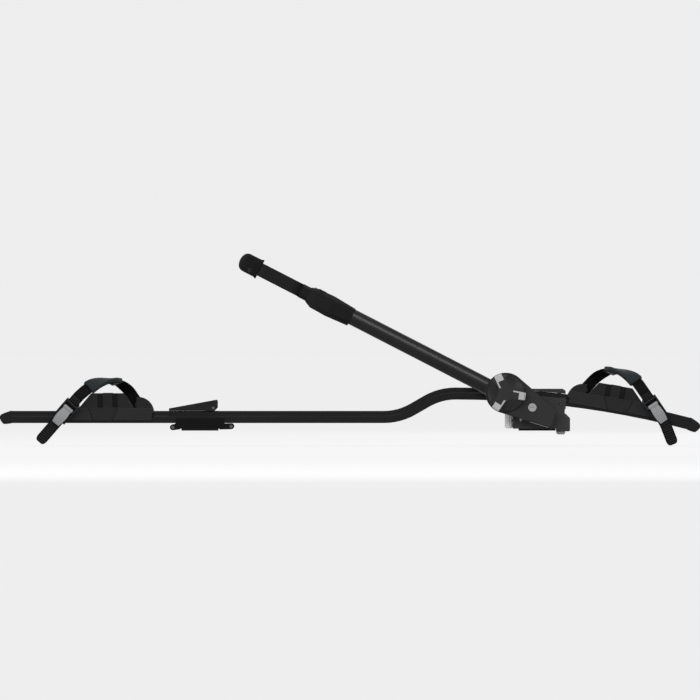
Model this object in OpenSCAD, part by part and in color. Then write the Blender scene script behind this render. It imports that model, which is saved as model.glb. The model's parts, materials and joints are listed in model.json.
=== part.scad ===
// Roof mounted bike carrier: a bent rail on two bar feet, two wheel trays with ladder straps
// and a folding arm whose knob closes a pair of jaws on the bicycle's frame tube.
// +X runs to the rear of the rail, -Y is the side with the knob, +Z is up.
// The origin is the centre of the rear foot's seat on its roof bar.

/* [Rail] */
// Width over the lower body of the rail
rail_w = 50; // [46:1:56]
// Width over the upper strip of the rail
rail_upper_w = 42; // [40:1:44]
// Height of the rail section
rail_h = 25; // [24:0.5:28]
// Height of the shoulder where the upper strip starts
rail_step_h = 15.5; // [14:0.5:17]
// Wall under the channel and at the shoulders
rail_wall = 3.5; // [3:0.5:4]
// Width of the channel inside the rail
channel_w = 34; // [32:1:35]
// Width of the channel's mouth
mouth_w = 26; // [25:0.5:28]
// Depth of the lips at the channel's mouth
lip_h = 3.5; // [3:0.5:4]
// Underside of the flat stretch above the roof bars
rail_z = 15.6; // [15:0.2:20]
// Reach of the rail in front of the front tray's middle
rail_nose = 201; // [190:1:240]
// Start of the double bend, from the rear bar
bend_x = -318; // [-340:1:-300]
// Centre line radius of the double bend
bend_r = 120; // [100:1:130]
// Steepest slope in the double bend
bend_angle = 30; // [28:0.5:34]
// Height gained in the double bend
rail_rise = 48.7; // [46:0.1:54]
// Radius of the curved rear stretch, at its underside
rear_r = 1900; // [1800:10:2200]
// Angle swept by the rear stretch
rear_sweep = 14.7; // [14.4:0.1:15.4]
// Length of an end cap outside the rail
cap_len = 24; // [20:1:28]
// Overhang of an end cap round the rail
cap_wall = 0.8; // [0.6:0.1:1.2]

/* [Feet] */
// Distance between the roof bars
bar_spread = 700; // [680:1:710]
// Half width of both feet
foot_half_w = 32; // [31:0.5:34]
// Thickness of the rubber pads on the bars
pad_t = 4; // [3:0.5:5]
// Length of a rubber pad along the rail
pad_len = 76; // [60:1:80]
// Length of the front foot's base
front_base_len = 104; // [100:1:110]
// Radius of the ears on the front foot
ear_r = 6; // [5.5:0.25:6.5]
// Diameter of the pins that take the bar straps
strap_pin_d = 7; // [6:0.5:8]
// Place of the front lever's pivot, from the bar
lever_x = 28; // [24:1:29]
// Height of the front lever's pivot above the rail
lever_pivot_h = 6.4; // [6:0.2:7]
// Reach of the front lever in front of its pivot
lever_reach = 92; // [82:1:96]
// Height of the front lever's back above its pivot
lever_back_h = 17.5; // [16:0.5:18.5]
// Diameter of the draw bolt under the front lever
draw_d = 8; // [7:0.5:8.5]
// Diameter of the hand-turned tension barrel
barrel_d = 17; // [15:0.5:18]
// Height of the tension barrel
barrel_h = 30; // [27:0.5:30.5]
// Rear end of the rear foot's block
block_rear_x = 68; // [66:0.5:72]
// Front end of the rear foot's block
block_front_x = -50; // [-52:0.5:-48]

/* [Wheel trays] */
// Half length of a wheel tray
tray_half = 95.5; // [94:0.5:100]
// Half width of a tray at its skirts
skirt_half_w = 30; // [29.5:0.5:31.5]
// Half width of a tray at its wall tops
wall_half_w = 42; // [40:0.5:43]
// Height of the tray walls above the rail's underside
wall_top = 61.7; // [58:0.1:64]
// How much lower the rear tray's walls are
rear_wall_drop = 4; // [0:0.5:5]
// Height of the skirts above the rail's underside
skirt_top = 31; // [30.5:0.5:33]
// Distance of the front tray's middle in front of the front bar
front_tray_lead = 191; // [180:1:220]
// Place of the rear tray along the rail
rear_tray_x = 154; // [153:1:178]
// Width of the ladder strap
strap_w = 23.5; // [21:0.5:25]
// Thickness of the ladder strap
strap_t = 3; // [2.6:0.1:3.4]
// Pitch of the strap's ribs
rib_pitch = 4.6; // [4:0.1:5.2]
// Height of the strap's ribs
rib_h = 1; // [0.8:0.1:1.2]
// Distance of the strap's near run from the rail's middle
strap_y = 47; // [46.5:0.5:49]
// Slope of the front strap's near run
strap_angle = 49; // [46:0.5:52]
// Slope of the rear strap's near run
rear_strap_angle = 46; // [42:0.5:52]
// Bend of the rear strap's tail below its buckle
rear_tail_bend = 13; // [8:1:16]
// Length of strap that hangs out of the buckle
tail_len = 75; // [60:1:80]
// Length of a buckle's grey lever
grip_len = 47; // [42:0.5:50]
// Width of a buckle's grey lever
grip_w = 22; // [20:0.5:23]

/* [Arm] */
// Pivot of the arm, from the rear bar
pivot_x = 16.6; // [14:0.2:20]
// Height of the arm's pivot
pivot_z = 30.1; // [29:0.1:32]
// Slope of the arm at rest
arm_angle = 27.2; // [26:0.2:30]
// Diameter of the arm's pivot bolt
pivot_d = 14; // [12:0.5:15]
// Distance of the arm's middle from the rail's middle
arm_y = 55; // [55:0.5:57]
// Height of the arm tube across its length
tube_h = 34; // [31:0.5:35]
// Width of the arm tube from side to side
tube_w = 28; // [26:0.5:29]
// Wall of the arm tube
tube_wall = 2.2; // [1.8:0.1:2.6]
// Depth of the arm's housing
housing_depth = 38; // [38:0.5:40]
// Thickness of the arm's cover
cover_t = 6.5; // [6:0.5:8]
// Radius of the cover around the knob
cover_r = 42; // [40:0.5:43]
// Knob axis along the arm, from the pivot
knob_u = 95.5; // [93:0.5:98]
// Knob axis across the arm
knob_w = 5; // [4:0.25:6]
// Radius of the knob
knob_r = 38; // [36:0.5:39]
// Height of the knob
knob_h = 30; // [27:0.5:32]
// Lock axis along the arm, from the pivot
lock_u = 33; // [31:0.5:35]
// Diameter of the lock's face
lock_d = 17; // [15:0.5:18]

/* [Jaws] */
// Jaw hinge along the arm, from the pivot
hinge_u = 529; // [520:1:540]
// Distance from the jaw hinge to the pull rod
crank = 37; // [36:0.5:38]
// Diameter of the jaw hinge's knuckle
knuckle_d = 35; // [33:0.5:36]
// Diameter of the jaw hinge's pin
hinge_pin_d = 10; // [8:0.5:12]
// Middle radius of the jaws' round ends
jaw_r = 53; // [52:0.5:55]
// Thickness of a jaw
jaw_t = 12; // [10:0.5:13]
// Length of the straight part of a jaw
jaw_straight = 62; // [56:1:70]
// Width of a jaw
jaw_w = 26; // [24:0.5:26]
// Width of the rubber boots on the jaw tips
boot_w = 40; // [36:0.5:42]
// Jaw opening angle from rest
jaw_open = 40; // [36:1:42]
// Pitch radius of the knob's pinion
pinion_r = 5; // [5:0.1:5.2]
// Teeth on the knob's pinion
pinion_teeth = 10; // [10:1:10]
// Notches on the knob's lock wheel
lock_notches = 21; // [21:1:21]

/* [Clearances] */
// Gap between pieces that slide on each other
slide_gap = 0.4; // [0.35:0.05:0.5]
// Radial gap of a turning shaft
run_gap = 0.05; // [0.03:0.01:0.08]

/* [Hidden] */

$fn = 48;
fine = 360;
e = 0.01;

// Rail path, all at the underside of the rail
bend_low_r = bend_r + rail_h / 2;
bend_high_r = bend_r - rail_h / 2;
bend_straight = (rail_rise - 2 * bend_r * (1 - cos(bend_angle))) / sin(bend_angle);
ramp_x = bend_x + bend_low_r * sin(bend_angle);
ramp_z = rail_z + bend_low_r * (1 - cos(bend_angle));
crest_start_x = ramp_x + bend_straight * cos(bend_angle);
crest_x = crest_start_x + bend_high_r * sin(bend_angle);
crest_z = rail_z + rail_rise;
front_tray_x = -bar_spread - front_tray_lead;
front_x = front_tray_x - rail_nose;
flat_len = bend_x - front_x;
floor_h = rail_h - rail_step_h;
step_side = (rail_w - rail_upper_w) / 2;

// Height of the rear stretch's underside at a place along the rail
function arc_angle(x) = asin((x - crest_x) / rear_r);
function arc_z(x) = crest_z - rear_r * (1 - cos(arc_angle(x)));

// Front foot and lever
front_foot_x = -bar_spread;
lever_pivot_x = front_foot_x + lever_x;
lever_pivot_z = rail_z + rail_h + lever_pivot_h;
rail_top_z = rail_z + rail_h;
slot_w = draw_d + 2 * slide_gap;

// Arm depths, counted from the rail's middle towards the knob's side
housing_back = foot_half_w + 1.5;
housing_front = housing_back + housing_depth;
cover_front = housing_front + cover_t;
knob_back = cover_front + 0.5;
knob_front = knob_back + knob_h;
housing_wall = 3.5;

// Jaw ring, in the arm's own plane
ring_y = arm_y - jaw_r;
ring_low_u = hinge_u + 61;
ring_high_u = ring_low_u + jaw_straight;
hinge_y = arm_y - crank;
rest_crank = jaw_open / 2;
rod_pin_u = hinge_u - crank * tan(rest_crank);
rod_travel = 2 * crank * tan(rest_crank);
hub_end_u = hinge_u + 41;

// Places and turns

module in_arm() {
    translate([pivot_x, 0, pivot_z]) rotate([0, -arm_angle, 180]) children();
}

module at_front_tray() {
    translate([front_tray_x, 0, rail_z]) children();
}

module at_rear_tray() {
    a = arc_angle(rear_tray_x);
    translate([rear_tray_x, 0, arc_z(rear_tray_x)]) rotate([0, a, 0]) mirror([1, 0, 0]) children();
}

// Drawn flat with x along the strap and z away from the tray
module in_buckle(slope) {
    translate(buckle_at(slope)) rotate([0, 180 - slope, 0]) rotate([90, 0, 0]) children();
}

// Flat shapes drawn in X and Z, made thick in Y between two depths
module side_plate(y0, y1) {
    translate([0, y1, 0]) rotate([90, 0, 0]) linear_extrude(y1 - y0) children();
}

// A round bar along Y
module bar_y(x, z, d, y0, y1) {
    translate([x, y1, z]) rotate([90, 0, 0]) cylinder(d = d, h = y1 - y0);
}

// Shapes drawn along and across the jaws, made thick across the arm
module jaw_plate(w0, w1) {
    translate([0, 0, w0]) linear_extrude(w1 - w0) children();
}

// Rectangle with round corners, about its centre
module soft_rect(w, h, r) {
    square([w - 2 * r, h], center = true);
    square([w, h - 2 * r], center = true);
    for (x = [-1, 1], y = [-1, 1]) translate([x * (w / 2 - r), y * (h / 2 - r)]) circle(r);
}

// Two circles joined by straight sides, which dip just under the tangents
module link(a, ra, b, rb) {
    dip = 0.02;
    d = b - a;
    len = norm(d);
    turn = atan2(d[1], d[0]);
    lean = acos((ra - rb) / len);
    p = [cos(turn + lean), sin(turn + lean)];
    q = [cos(turn - lean), sin(turn - lean)];
    translate(a) circle(ra);
    translate(b) circle(rb);
    polygon([a + (ra - dip) * p, a + (ra - dip) * q, b + (rb - dip) * q, b + (rb - dip) * p]);
}

// Rail

rail_edge = 2;
lip_edge = 1.5;
web_half = 7;
bend_swell = 0.04;
lap = 0.5;
lap_angle = 0.02;

// Swell makes every wall thicker, as the metal is in the bends
module rail_section(swell) {
    b = rail_w / 2 + swell;
    u = rail_upper_w / 2 + swell;
    c = channel_w / 2 - swell;
    m = mouth_w / 2 - swell;
    top = rail_h + swell;
    step = rail_step_h + swell;
    lip = rail_h - lip_h - swell;
    right = [
        [b - rail_edge, -swell], [b, rail_edge - swell], [b, step - rail_edge], [b - rail_edge, step],
        [u, step], [u, top - lip_edge], [u - lip_edge, top], [m, top],
        [m, lip], [c, lip], [c, floor_h + swell],
    ];
    difference() {
        polygon(concat(right, [for (i = [len(right) - 1 : -1 : 0]) [-right[i][0], right[i][1]]]));
        // Two hollow chambers under the channel's floor
        for (s = [-1, 1]) translate([s * (c + web_half) / 2, floor_h / 2])
            square([c - web_half - swell, floor_h - rail_wall - 2 * swell], center = true);
    }
}

// Turns about Y: a hollow under the arc lifts the path, a centre below lets it fall
module rail_arc(centre, r, from, sweep, side) {
    translate([centre[0], 0, centre[1]]) rotate([90, 0, 0]) rotate([0, 0, from])
        rotate_extrude(angle = sweep, $fn = fine) translate([r, 0]) rotate(side * 90) children();
}

// Each stretch starts where the one before it ends
module at_bend() {
    translate([bend_x, 0, rail_z]) children();
}

module at_ramp() {
    at_bend() translate([0, 0, bend_low_r]) rotate([0, -bend_angle, 0]) translate([0, 0, -bend_low_r])
        children();
}

module at_ramp_end() {
    at_ramp() translate([bend_straight, 0, 0]) children();
}

module at_crest() {
    at_ramp_end() translate([0, 0, -bend_high_r]) rotate([0, bend_angle, 0]) translate([0, 0, bend_high_r])
        children();
}

module rear_arc() {
    at_crest() rail_arc([0, -rear_r], rear_r, 90 - rear_sweep, rear_sweep + lap_angle, -1) children();
}

// The bends take in the ends of the stretches between them
module rail_bend() {
    at_bend() rail_arc([0, bend_low_r], bend_low_r, -90, bend_angle, 1) rail_section(bend_swell);
    at_ramp() translate([-lap, 0, 0]) rotate([90, 0, 90]) linear_extrude(bend_straight + 2 * lap)
        rail_section(0);
    at_ramp_end() rail_arc([0, -bend_high_r], bend_high_r, 90 - bend_angle, bend_angle, -1)
        rail_section(bend_swell);
}

module rail() {
    hole = clamp_bolt_d + 1;
    color("#232323") {
        difference() {
            translate([front_x, 0, rail_z]) rotate([90, 0, 90]) linear_extrude(flat_len + lap)
                rail_section(0);
            // Long slot for the front foot's draw bolt
            translate([lever_pivot_x - slot_ahead, -slot_w / 2, rail_z - 1])
                cube([slot_len, slot_w, floor_h + 2]);
        }
        rail_bend();
        difference() {
            rear_arc() rail_section(0);
            for (x = clamp_bolt_x) translate([x, 0, arc_z(x)]) cube([hole, hole, 3 * floor_h], center = true);
        }
    }
}

slot_ahead = 20;
slot_len = 190;

cap_sag = 1.2;

// Cap drawn with x pointing out of the rail's end and z up from its underside
module end_cap_shape() {
    inside = 14;
    high = rail_h + 2 * cap_wall + cap_sag;
    intersection() {
        // The top falls to a blunt nose, and the chin hangs a little under the rail
        side_plate(-rail_w, rail_w)
            polygon([[0, -cap_wall], [cap_len - 15, -cap_wall - cap_sag], [cap_len - 9, -cap_wall - cap_sag],
                     [cap_len - 5, 2], [cap_len - 2, 7], [cap_len, 12], [cap_len - 1, 15], [cap_len - 4, 18],
                     [cap_len - 9, 20.5], [cap_len - 16, 23], [0, rail_h + cap_wall]]);
        rotate([90, 0, 90]) linear_extrude(cap_len + 1)
            translate([0, (rail_h - cap_sag) / 2]) soft_rect(rail_w + 2 * cap_wall, high, 6);
    }
    // Plug that fills the channel
    translate([-inside, -channel_w / 2 + slide_gap, floor_h + slide_gap])
        cube([inside + 1, channel_w - 2 * slide_gap, rail_h - lip_h - floor_h - 2 * slide_gap]);
}

module front_end_cap() {
    color("#2c2c2c") translate([front_x, 0, rail_z]) mirror([1, 0, 0]) end_cap_shape();
}

module rear_end_cap() {
    end_x = crest_x + rear_r * sin(rear_sweep);
    color("#2c2c2c") translate([end_x, 0, arc_z(end_x)]) rotate([0, rear_sweep, 0]) end_cap_shape();
}

// Front foot

base_low = pad_t;
base_high = rail_z - slide_gap;
cheek_high = rail_z + 9.5;
ear_z = ear_r + 0.8;
// The front ear and the longer rear ear, from the bar
ear_at = [[-front_base_len / 2 - 4, ear_z], [front_base_len / 2 + 13, ear_z + 2]];

module front_foot_base() {
    half = front_base_len / 2;
    color("#2b2b2b") translate([front_foot_x, 0, 0]) difference() {
        union() {
            side_plate(-foot_half_w, foot_half_w) translate([0, (base_low + base_high) / 2])
                soft_rect(front_base_len, base_high - base_low, 2);
            for (s = [-1, 1]) {
                y = s * (foot_half_w + rail_w / 2 + slide_gap) / 2;
                t = foot_half_w - rail_w / 2 - slide_gap;
                side_plate(y - t / 2, y + t / 2) translate([0, (base_low + cheek_high) / 2])
                    soft_rect(front_base_len - 4, cheek_high - base_low, 3);
                for (at = ear_at) side_plate(s * foot_half_w - (s > 0 ? 9 : 0),
                                             s * foot_half_w + (s < 0 ? 9 : 0))
                    link(at, ear_r, [sign(at[0]) * (half - 8), ear_z + 1.5], ear_r);
            }
        }
        for (at = ear_at) bar_y(at[0], at[1], strap_pin_d, -foot_half_w - 1, foot_half_w + 1);
        translate([lever_x, 0, 0]) cylinder(d = draw_d + 0.2, h = rail_z);
        translate([lever_x, 0, base_low - e])
            cylinder(d = nut_flats / cos(30) + 0.4, h = nut_h + 1.2, $fn = 6);
        // Room for a bar strap round each pin
        for (end = [-1, 1]) translate([end * (half - strap_room / 2 + 4), 0, 0])
            cube([strap_room + 8, 2 * (foot_half_w - 10), 4 * rail_z], center = true);
        // Pads locate in the hollow underside
        translate([-pad_len / 2, -foot_half_w + 4, base_low - e]) cube([pad_len, 2 * foot_half_w - 8, 1]);
    }
}

strap_room = 9;
nut_flats = 13;
nut_h = 5;

module front_bar_pad() {
    color("#141414") translate([front_foot_x, 0, 0]) difference() {
        union() {
            linear_extrude(pad_t) soft_rect(pad_len, 2 * foot_half_w, 4);
            translate([-pad_len / 2, -foot_half_w + 4, pad_t - e]) cube([pad_len, 2 * foot_half_w - 8, 1]);
        }
        translate([lever_x, 0, -1]) cylinder(d = nut_flats / cos(30) + 1, h = pad_t + 3);
    }
}

module front_strap_pins() {
    color("silver") translate([front_foot_x, 0, 0]) for (at = ear_at)
        bar_y(at[0], at[1], strap_pin_d, -foot_half_w + 0.5, foot_half_w - 0.5);
}

eye_half = 4;

module front_draw_bolt() {
    eye_d = 2 * lever_pivot_h - 1.6;
    color("silver") translate([lever_pivot_x, 0, 0]) difference() {
        union() {
            translate([0, 0, base_low + 2])
                cylinder(d = draw_d, h = lever_pivot_z - base_low - 2 - eye_d / 2 + 1);
            bar_y(0, lever_pivot_z, eye_d, -eye_half - 0.2, eye_half + 0.2);
        }
        bar_y(0, lever_pivot_z, lever_pin_d + 2 * run_gap, -eye_half - 5, eye_half + 5);
    }
}

lever_pin_d = 6;

module front_draw_nut() {
    color("silver") translate([lever_pivot_x, 0, base_low + 1]) difference() {
        cylinder(d = nut_flats / cos(30), h = nut_h, $fn = 6);
        translate([0, 0, -1]) cylinder(d = draw_d, h = nut_h + 2);
    }
}

module front_cam_plate() {
    plate_z = rail_z + floor_h + slide_gap;
    color("#555555") translate([lever_pivot_x, 0, 0]) difference() {
        translate([-16, -mouth_w / 2 + slide_gap, plate_z])
            cube([32, mouth_w - 2 * slide_gap, rail_h - floor_h - 0.2]);
        translate([0, 0, plate_z - 1]) cylinder(d = draw_d + 0.4, h = rail_h);
        side_plate(-eye_half - 0.4, eye_half + 0.4) translate([-8, rail_top_z - 6]) square([16, 10]);
    }
}

// Lever drawn about its pivot, handle to -X
lever_low = -lever_pivot_h + 0.4;
lever_heel = 9;
lever_tip_h = 5;

// Top of the lever, a straight line from its tip to its heel
function lever_top(x) =
    let (share = (x + lever_reach) / (lever_heel + lever_reach), tip = lever_low + lever_tip_h)
    tip + share * (lever_back_h - tip);

// The heel stays within the pivot's height of the rail while the lever swings by 45 degrees
module lever_outline() {
    turn = -lever_low / sin(45);
    polygon([[-lever_reach, lever_low], [0, lever_low],
             for (a = [22.5, 45]) [-sin(a) * lever_low, cos(a) * lever_low],
             [lever_heel, lever_heel - turn], [lever_heel, lever_back_h - 3],
             [lever_heel - 2, lever_top(lever_heel - 2)],
             [-lever_reach, lever_low + lever_tip_h]]);
}

module front_lever() {
    half = rail_upper_w / 2 + slide_gap + 3;
    skin = 4;
    hollow_len = 46;
    color("#303030") translate([lever_pivot_x, 0, lever_pivot_z]) difference() {
        side_plate(-half, half) lever_outline();
        // Hollow under the lever's back, round the cam
        difference() {
            side_plate(-half + 3, half - 3) {
                translate([-lever_reach + 12, -lever_pivot_h - 2]) square([lever_reach - 12, 7]);
                polygon([[-hollow_len, -lever_pivot_h - 2], [lever_heel - 4, -lever_pivot_h - 2],
                         [lever_heel - 4, lever_top(lever_heel - 4) - skin],
                         [-hollow_len, lever_top(-hollow_len) - skin]]);
            }
            bar_y(0, 0, 2 * lever_pivot_h - 1.4, -11, 11);
            side_plate(-11, 11) translate([-6, 0]) square([lever_heel + 4, lever_back_h]);
        }
        side_plate(-eye_half - 0.4, eye_half + 0.4) {
            circle(lever_pivot_h + 0.2);
            translate([-lever_pivot_h - 0.2, -20]) square([2 * lever_pivot_h + 0.4, 20]);
            // The bolt's shank passes under the heel as the lever swings up
            for (a = [15, 30, 45]) rotate(a) translate([-draw_d / 2 - 1, -20]) square([draw_d + 2, 20]);
        }
        bar_y(0, 0, lever_pin_d, -half - 1, half + 1);
        // Finger panel on each side
        for (s = [-1, 1]) side_plate(s * half - 0.8, s * half + 0.8)
            link([-4, 6], 5, [-32, 2], 3);
    }
}

module front_lever_pin() {
    half = rail_upper_w / 2 + slide_gap + 2.2;
    color("silver") bar_y(lever_pivot_x, lever_pivot_z, lever_pin_d, -half, half);
}

// Rear foot

clamp_bolt_d = 8;
clamp_bolt_x = [-24, 46];
saddle_rear_x = block_rear_x - 9;
barrel_x = block_front_x - 8.5;
barrel_z = 4.5;
screw_d = 7;

module rear_foot_outline() {
    low = pad_t;
    neck_z = 38;
    polygon([[block_front_x, low], [block_rear_x - 4, low], [block_rear_x, low + 4], [block_rear_x, 26],
             [block_rear_x - 8, 34], [saddle_rear_x - 2, neck_z - 2], [saddle_rear_x - 2, neck_z + 5],
             [saddle_rear_x, neck_z + 8], [saddle_rear_x, arc_z(saddle_rear_x) + rail_step_h + 1],
             [block_front_x, arc_z(block_front_x) + rail_step_h + 1]]);
    // Lug over the tension barrel
    translate([barrel_x - 8, barrel_z + barrel_h + 0.5]) square([24, 6]);
}

// Heel behind the bar, beside the hook
module rear_heel() {
    drop = 1.6;
    polygon([[pad_len / 2 + 2, -drop], [block_rear_x - 2, -drop], [block_rear_x, 2 - drop],
             [block_rear_x, pad_t + 8],
             [pad_len / 2 + 2, pad_t + 8]]);
}

module rear_foot_body() {
    color("#2b2b2b") difference() {
        union() {
            side_plate(-foot_half_w, foot_half_w) rear_foot_outline();
            side_plate(-foot_half_w, -foot_half_w + 5) rear_heel();
            side_plate(foot_half_w - 5, foot_half_w) rear_heel();
        }
        rear_arc() translate([-rail_w / 2 - slide_gap / 2, -slide_gap / 2])
            square([rail_w + slide_gap, 2 * rail_h]);
        bar_y(pivot_x, pivot_z, pivot_d, -foot_half_w - 1, foot_half_w + 1);
        for (x = clamp_bolt_x) {
            translate([x, 0, clamp_nut_z - 12]) cylinder(d = clamp_bolt_d + 0.2, h = 60);
            translate([x - nut_flats / 2 - 0.5, -nut_flats / 2 - 1.5, clamp_nut_z - 0.2])
                cube([nut_flats + 1, foot_half_w + nut_flats, nut_h + 1.4]);
        }
        // Trough that the tension barrel turns in, open at the front
        translate([barrel_x, 0, pad_t - 1])
            cylinder(d = barrel_d + 2 * slide_gap, h = barrel_z - pad_t + barrel_h + 1.5);
        translate([barrel_x, 0, barrel_z]) cylinder(d = screw_neck_d + 2 * run_gap, h = barrel_h + 20);
        translate([barrel_x - 9, -foot_half_w - 1, barrel_z + barrel_h]) {
            cube([18, foot_half_w - 10, 12]);
            translate([0, foot_half_w + 12, 0]) cube([18, foot_half_w - 10, 12]);
        }
        // Side screws into the rail
        for (s = [-1, 1]) bar_y(49, arc_z(49) + 5, 10, s > 0 ? foot_half_w - 2 : -foot_half_w - 1,
                                s > 0 ? foot_half_w + 1 : -foot_half_w + 2);
        translate([-pad_len / 2, -foot_half_w + 4, pad_t - e]) cube([pad_len, 2 * foot_half_w - 8, 1]);
    }
}

clamp_nut_z = 42;
screw_neck_d = 11;

module rear_bar_pad() {
    color("#141414") {
        linear_extrude(pad_t) soft_rect(pad_len, 2 * foot_half_w, 4);
        translate([-pad_len / 2, -foot_half_w + 4, pad_t - e]) cube([pad_len, 2 * foot_half_w - 8, 1]);
    }
}

// Plate over the rail that the clamp bolts pull down
module rear_clamp_plate() {
    top_z = arc_z(0) + rail_h + 5;
    front = block_front_x + 8;
    middle = (front + saddle_rear_x) / 2;
    // Flat underside that touches the curved rail at the plate's middle
    function seat(x) =
        arc_z(middle) + rail_h / cos(arc_angle(middle)) + 0.1 - (x - middle) * tan(arc_angle(middle));
    color("#262626") difference() {
        side_plate(-rail_upper_w / 2, rail_upper_w / 2)
            polygon([[front, seat(front)], [front, top_z], [saddle_rear_x - 6, top_z],
                     [saddle_rear_x, top_z - 4], [saddle_rear_x, seat(saddle_rear_x)]]);
        for (x = clamp_bolt_x) translate([x, 0, 0]) {
            cylinder(d = clamp_bolt_d + 0.2, h = 120);
            translate([0, 0, top_z - 4]) cylinder(d = 14, h = 20);
        }
    }
}

module rear_clamp_bolts() {
    head_z = arc_z(0) + rail_h + 1;
    color("silver") for (x = clamp_bolt_x) translate([x, 0, 0]) {
        translate([0, 0, clamp_nut_z - 3]) cylinder(d = clamp_bolt_d, h = head_z - clamp_nut_z + 3 + e);
        translate([0, 0, head_z]) cylinder(d = 13, h = 4);
    }
}

module rear_clamp_nuts() {
    color("silver") for (x = clamp_bolt_x) translate([x, 0, clamp_nut_z]) difference() {
        rotate(30) cylinder(d = nut_flats / cos(30), h = nut_h, $fn = 6);
        translate([0, 0, -1]) cylinder(d = clamp_bolt_d, h = nut_h + 2);
    }
}

// Lip that hooks behind the roof bar
module rear_bar_hook() {
    color("#9a9a9a") side_plate(-foot_half_w + 6, foot_half_w - 6)
        polygon([[pad_len / 2 + 2, pad_t], [pad_len / 2 + 2, -5], [pad_len / 2 + 5, -8],
                 [block_rear_x - 12, -8],
                 [block_rear_x - 10, -5], [block_rear_x - 10, pad_t]]);
}

module tension_barrel() {
    flutes = 10;
    color("#b8b8b8") translate([barrel_x, 0, barrel_z]) difference() {
        union() {
            translate([0, 0, 3]) cylinder(d = barrel_d, h = barrel_h - 3);
            cylinder(d1 = barrel_d - 5, d2 = barrel_d, h = 3);
            cylinder(d = screw_neck_d, h = barrel_h + 6);
        }
        translate([0, 0, -1]) cylinder(d = screw_d + 2 * run_gap, h = barrel_h + 20);
        for (i = [0 : flutes - 1]) rotate(i * 360 / flutes) translate([barrel_d / 2 + 0.6, 0, 5])
            cylinder(d = 3, h = barrel_h - 9);
    }
}

module draw_screw() {
    color("silver") translate([barrel_x, 0, barrel_z + 0.5]) cylinder(d = screw_d, h = barrel_h + 3);
}

module arm_pivot_bolt() {
    head = 5;
    color("silver") {
        bar_y(pivot_x, pivot_z, pivot_d, -housing_front + 3, foot_half_w);
        bar_y(pivot_x, pivot_z, 22, foot_half_w, foot_half_w + head);
    }
}

pivot_nut_h = 7;
boss_end = housing_front - 3 - pivot_nut_h - 1;

module arm_pivot_nut() {
    color("silver") translate([pivot_x, -boss_end - slide_gap, pivot_z]) rotate([90, 0, 0]) difference() {
        cylinder(d = 23, h = pivot_nut_h, $fn = 6);
        translate([0, 0, -1]) cylinder(d = pivot_d, h = pivot_nut_h + 2);
    }
}

// Wheel trays, drawn with x along the rail and z up from the rail's underside

skirt_low = 5.2;
groove_floor = rail_h + 5;
cheek_start = 60;
cheek_top = 54;
buckle_x = -92.6;
buckle_z = 17.4;
boss_a = -21;
boss_x = buckle_x - boss_a * cos(strap_angle);
boss_z = buckle_z - boss_a * sin(strap_angle);
floor_c = -strap_t / 2 - 1.7;
floor_t = 3;
anchor = [60.2, 45.5, 39.5];

// Middle of a buckle whose strap has a given slope, swung about the boss
function buckle_at(slope) = [boss_x + boss_a * cos(slope), -strap_y, boss_z + boss_a * sin(slope)];

// Side of a tray whose walls are lower by a drop, with a long round on each cheek
module tray_side(drop) {
    round_r = tray_half - cheek_start - 2;
    top = wall_top - drop;
    cheek = cheek_top - drop;
    translate([-tray_half + 4, skirt_low]) square([2 * tray_half - 8, skirt_top - skirt_low]);
    polygon([[-cheek_start - 1, skirt_top - 1], [54, skirt_top - 1], [34, top], [10, top], [9, top + 0.8],
             [-10, top + 0.8], [-11, top], [-34, top]]);
    for (s = [-1, 1]) {
        translate([s * (tray_half - round_r), cheek - round_r]) intersection() {
            circle(round_r);
            translate([s > 0 ? 0 : -round_r, 0]) square(round_r);
        }
        x0 = s > 0 ? cheek_start : -tray_half + round_r;
        translate([x0, skirt_low + 8]) square([tray_half - round_r - cheek_start, cheek - skirt_low - 8]);
    }
}

module tray_section() {
    flare_z = skirt_top;
    difference() {
        polygon([[-skirt_half_w, 0], [skirt_half_w, 0], [skirt_half_w, flare_z], [wall_half_w, wall_top],
                 [wall_half_w + 0.4, wall_top + 1], [-wall_half_w - 0.4, wall_top + 1],
                 [-wall_half_w, wall_top],
                 [-skirt_half_w, flare_z]]);
        polygon([[-9, groove_floor], [9, groove_floor], [24, groove_floor + 7],
                 [wall_half_w - 4, wall_top + 2],
                 [4 - wall_half_w, wall_top + 2], [-24, groove_floor + 7]]);
        // Seat on the rail
        translate([-rail_w / 2 - slide_gap, -1])
            square([rail_w + 2 * slide_gap, rail_step_h + 1 + slide_gap]);
        translate([-rail_upper_w / 2 - slide_gap, -1])
            square([rail_upper_w + 2 * slide_gap, rail_h + 1 + tray_lift]);
    }
}

tray_lift = 0.3;
tray_bolt_d = 6;
tray_nut_h = 7;

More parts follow.
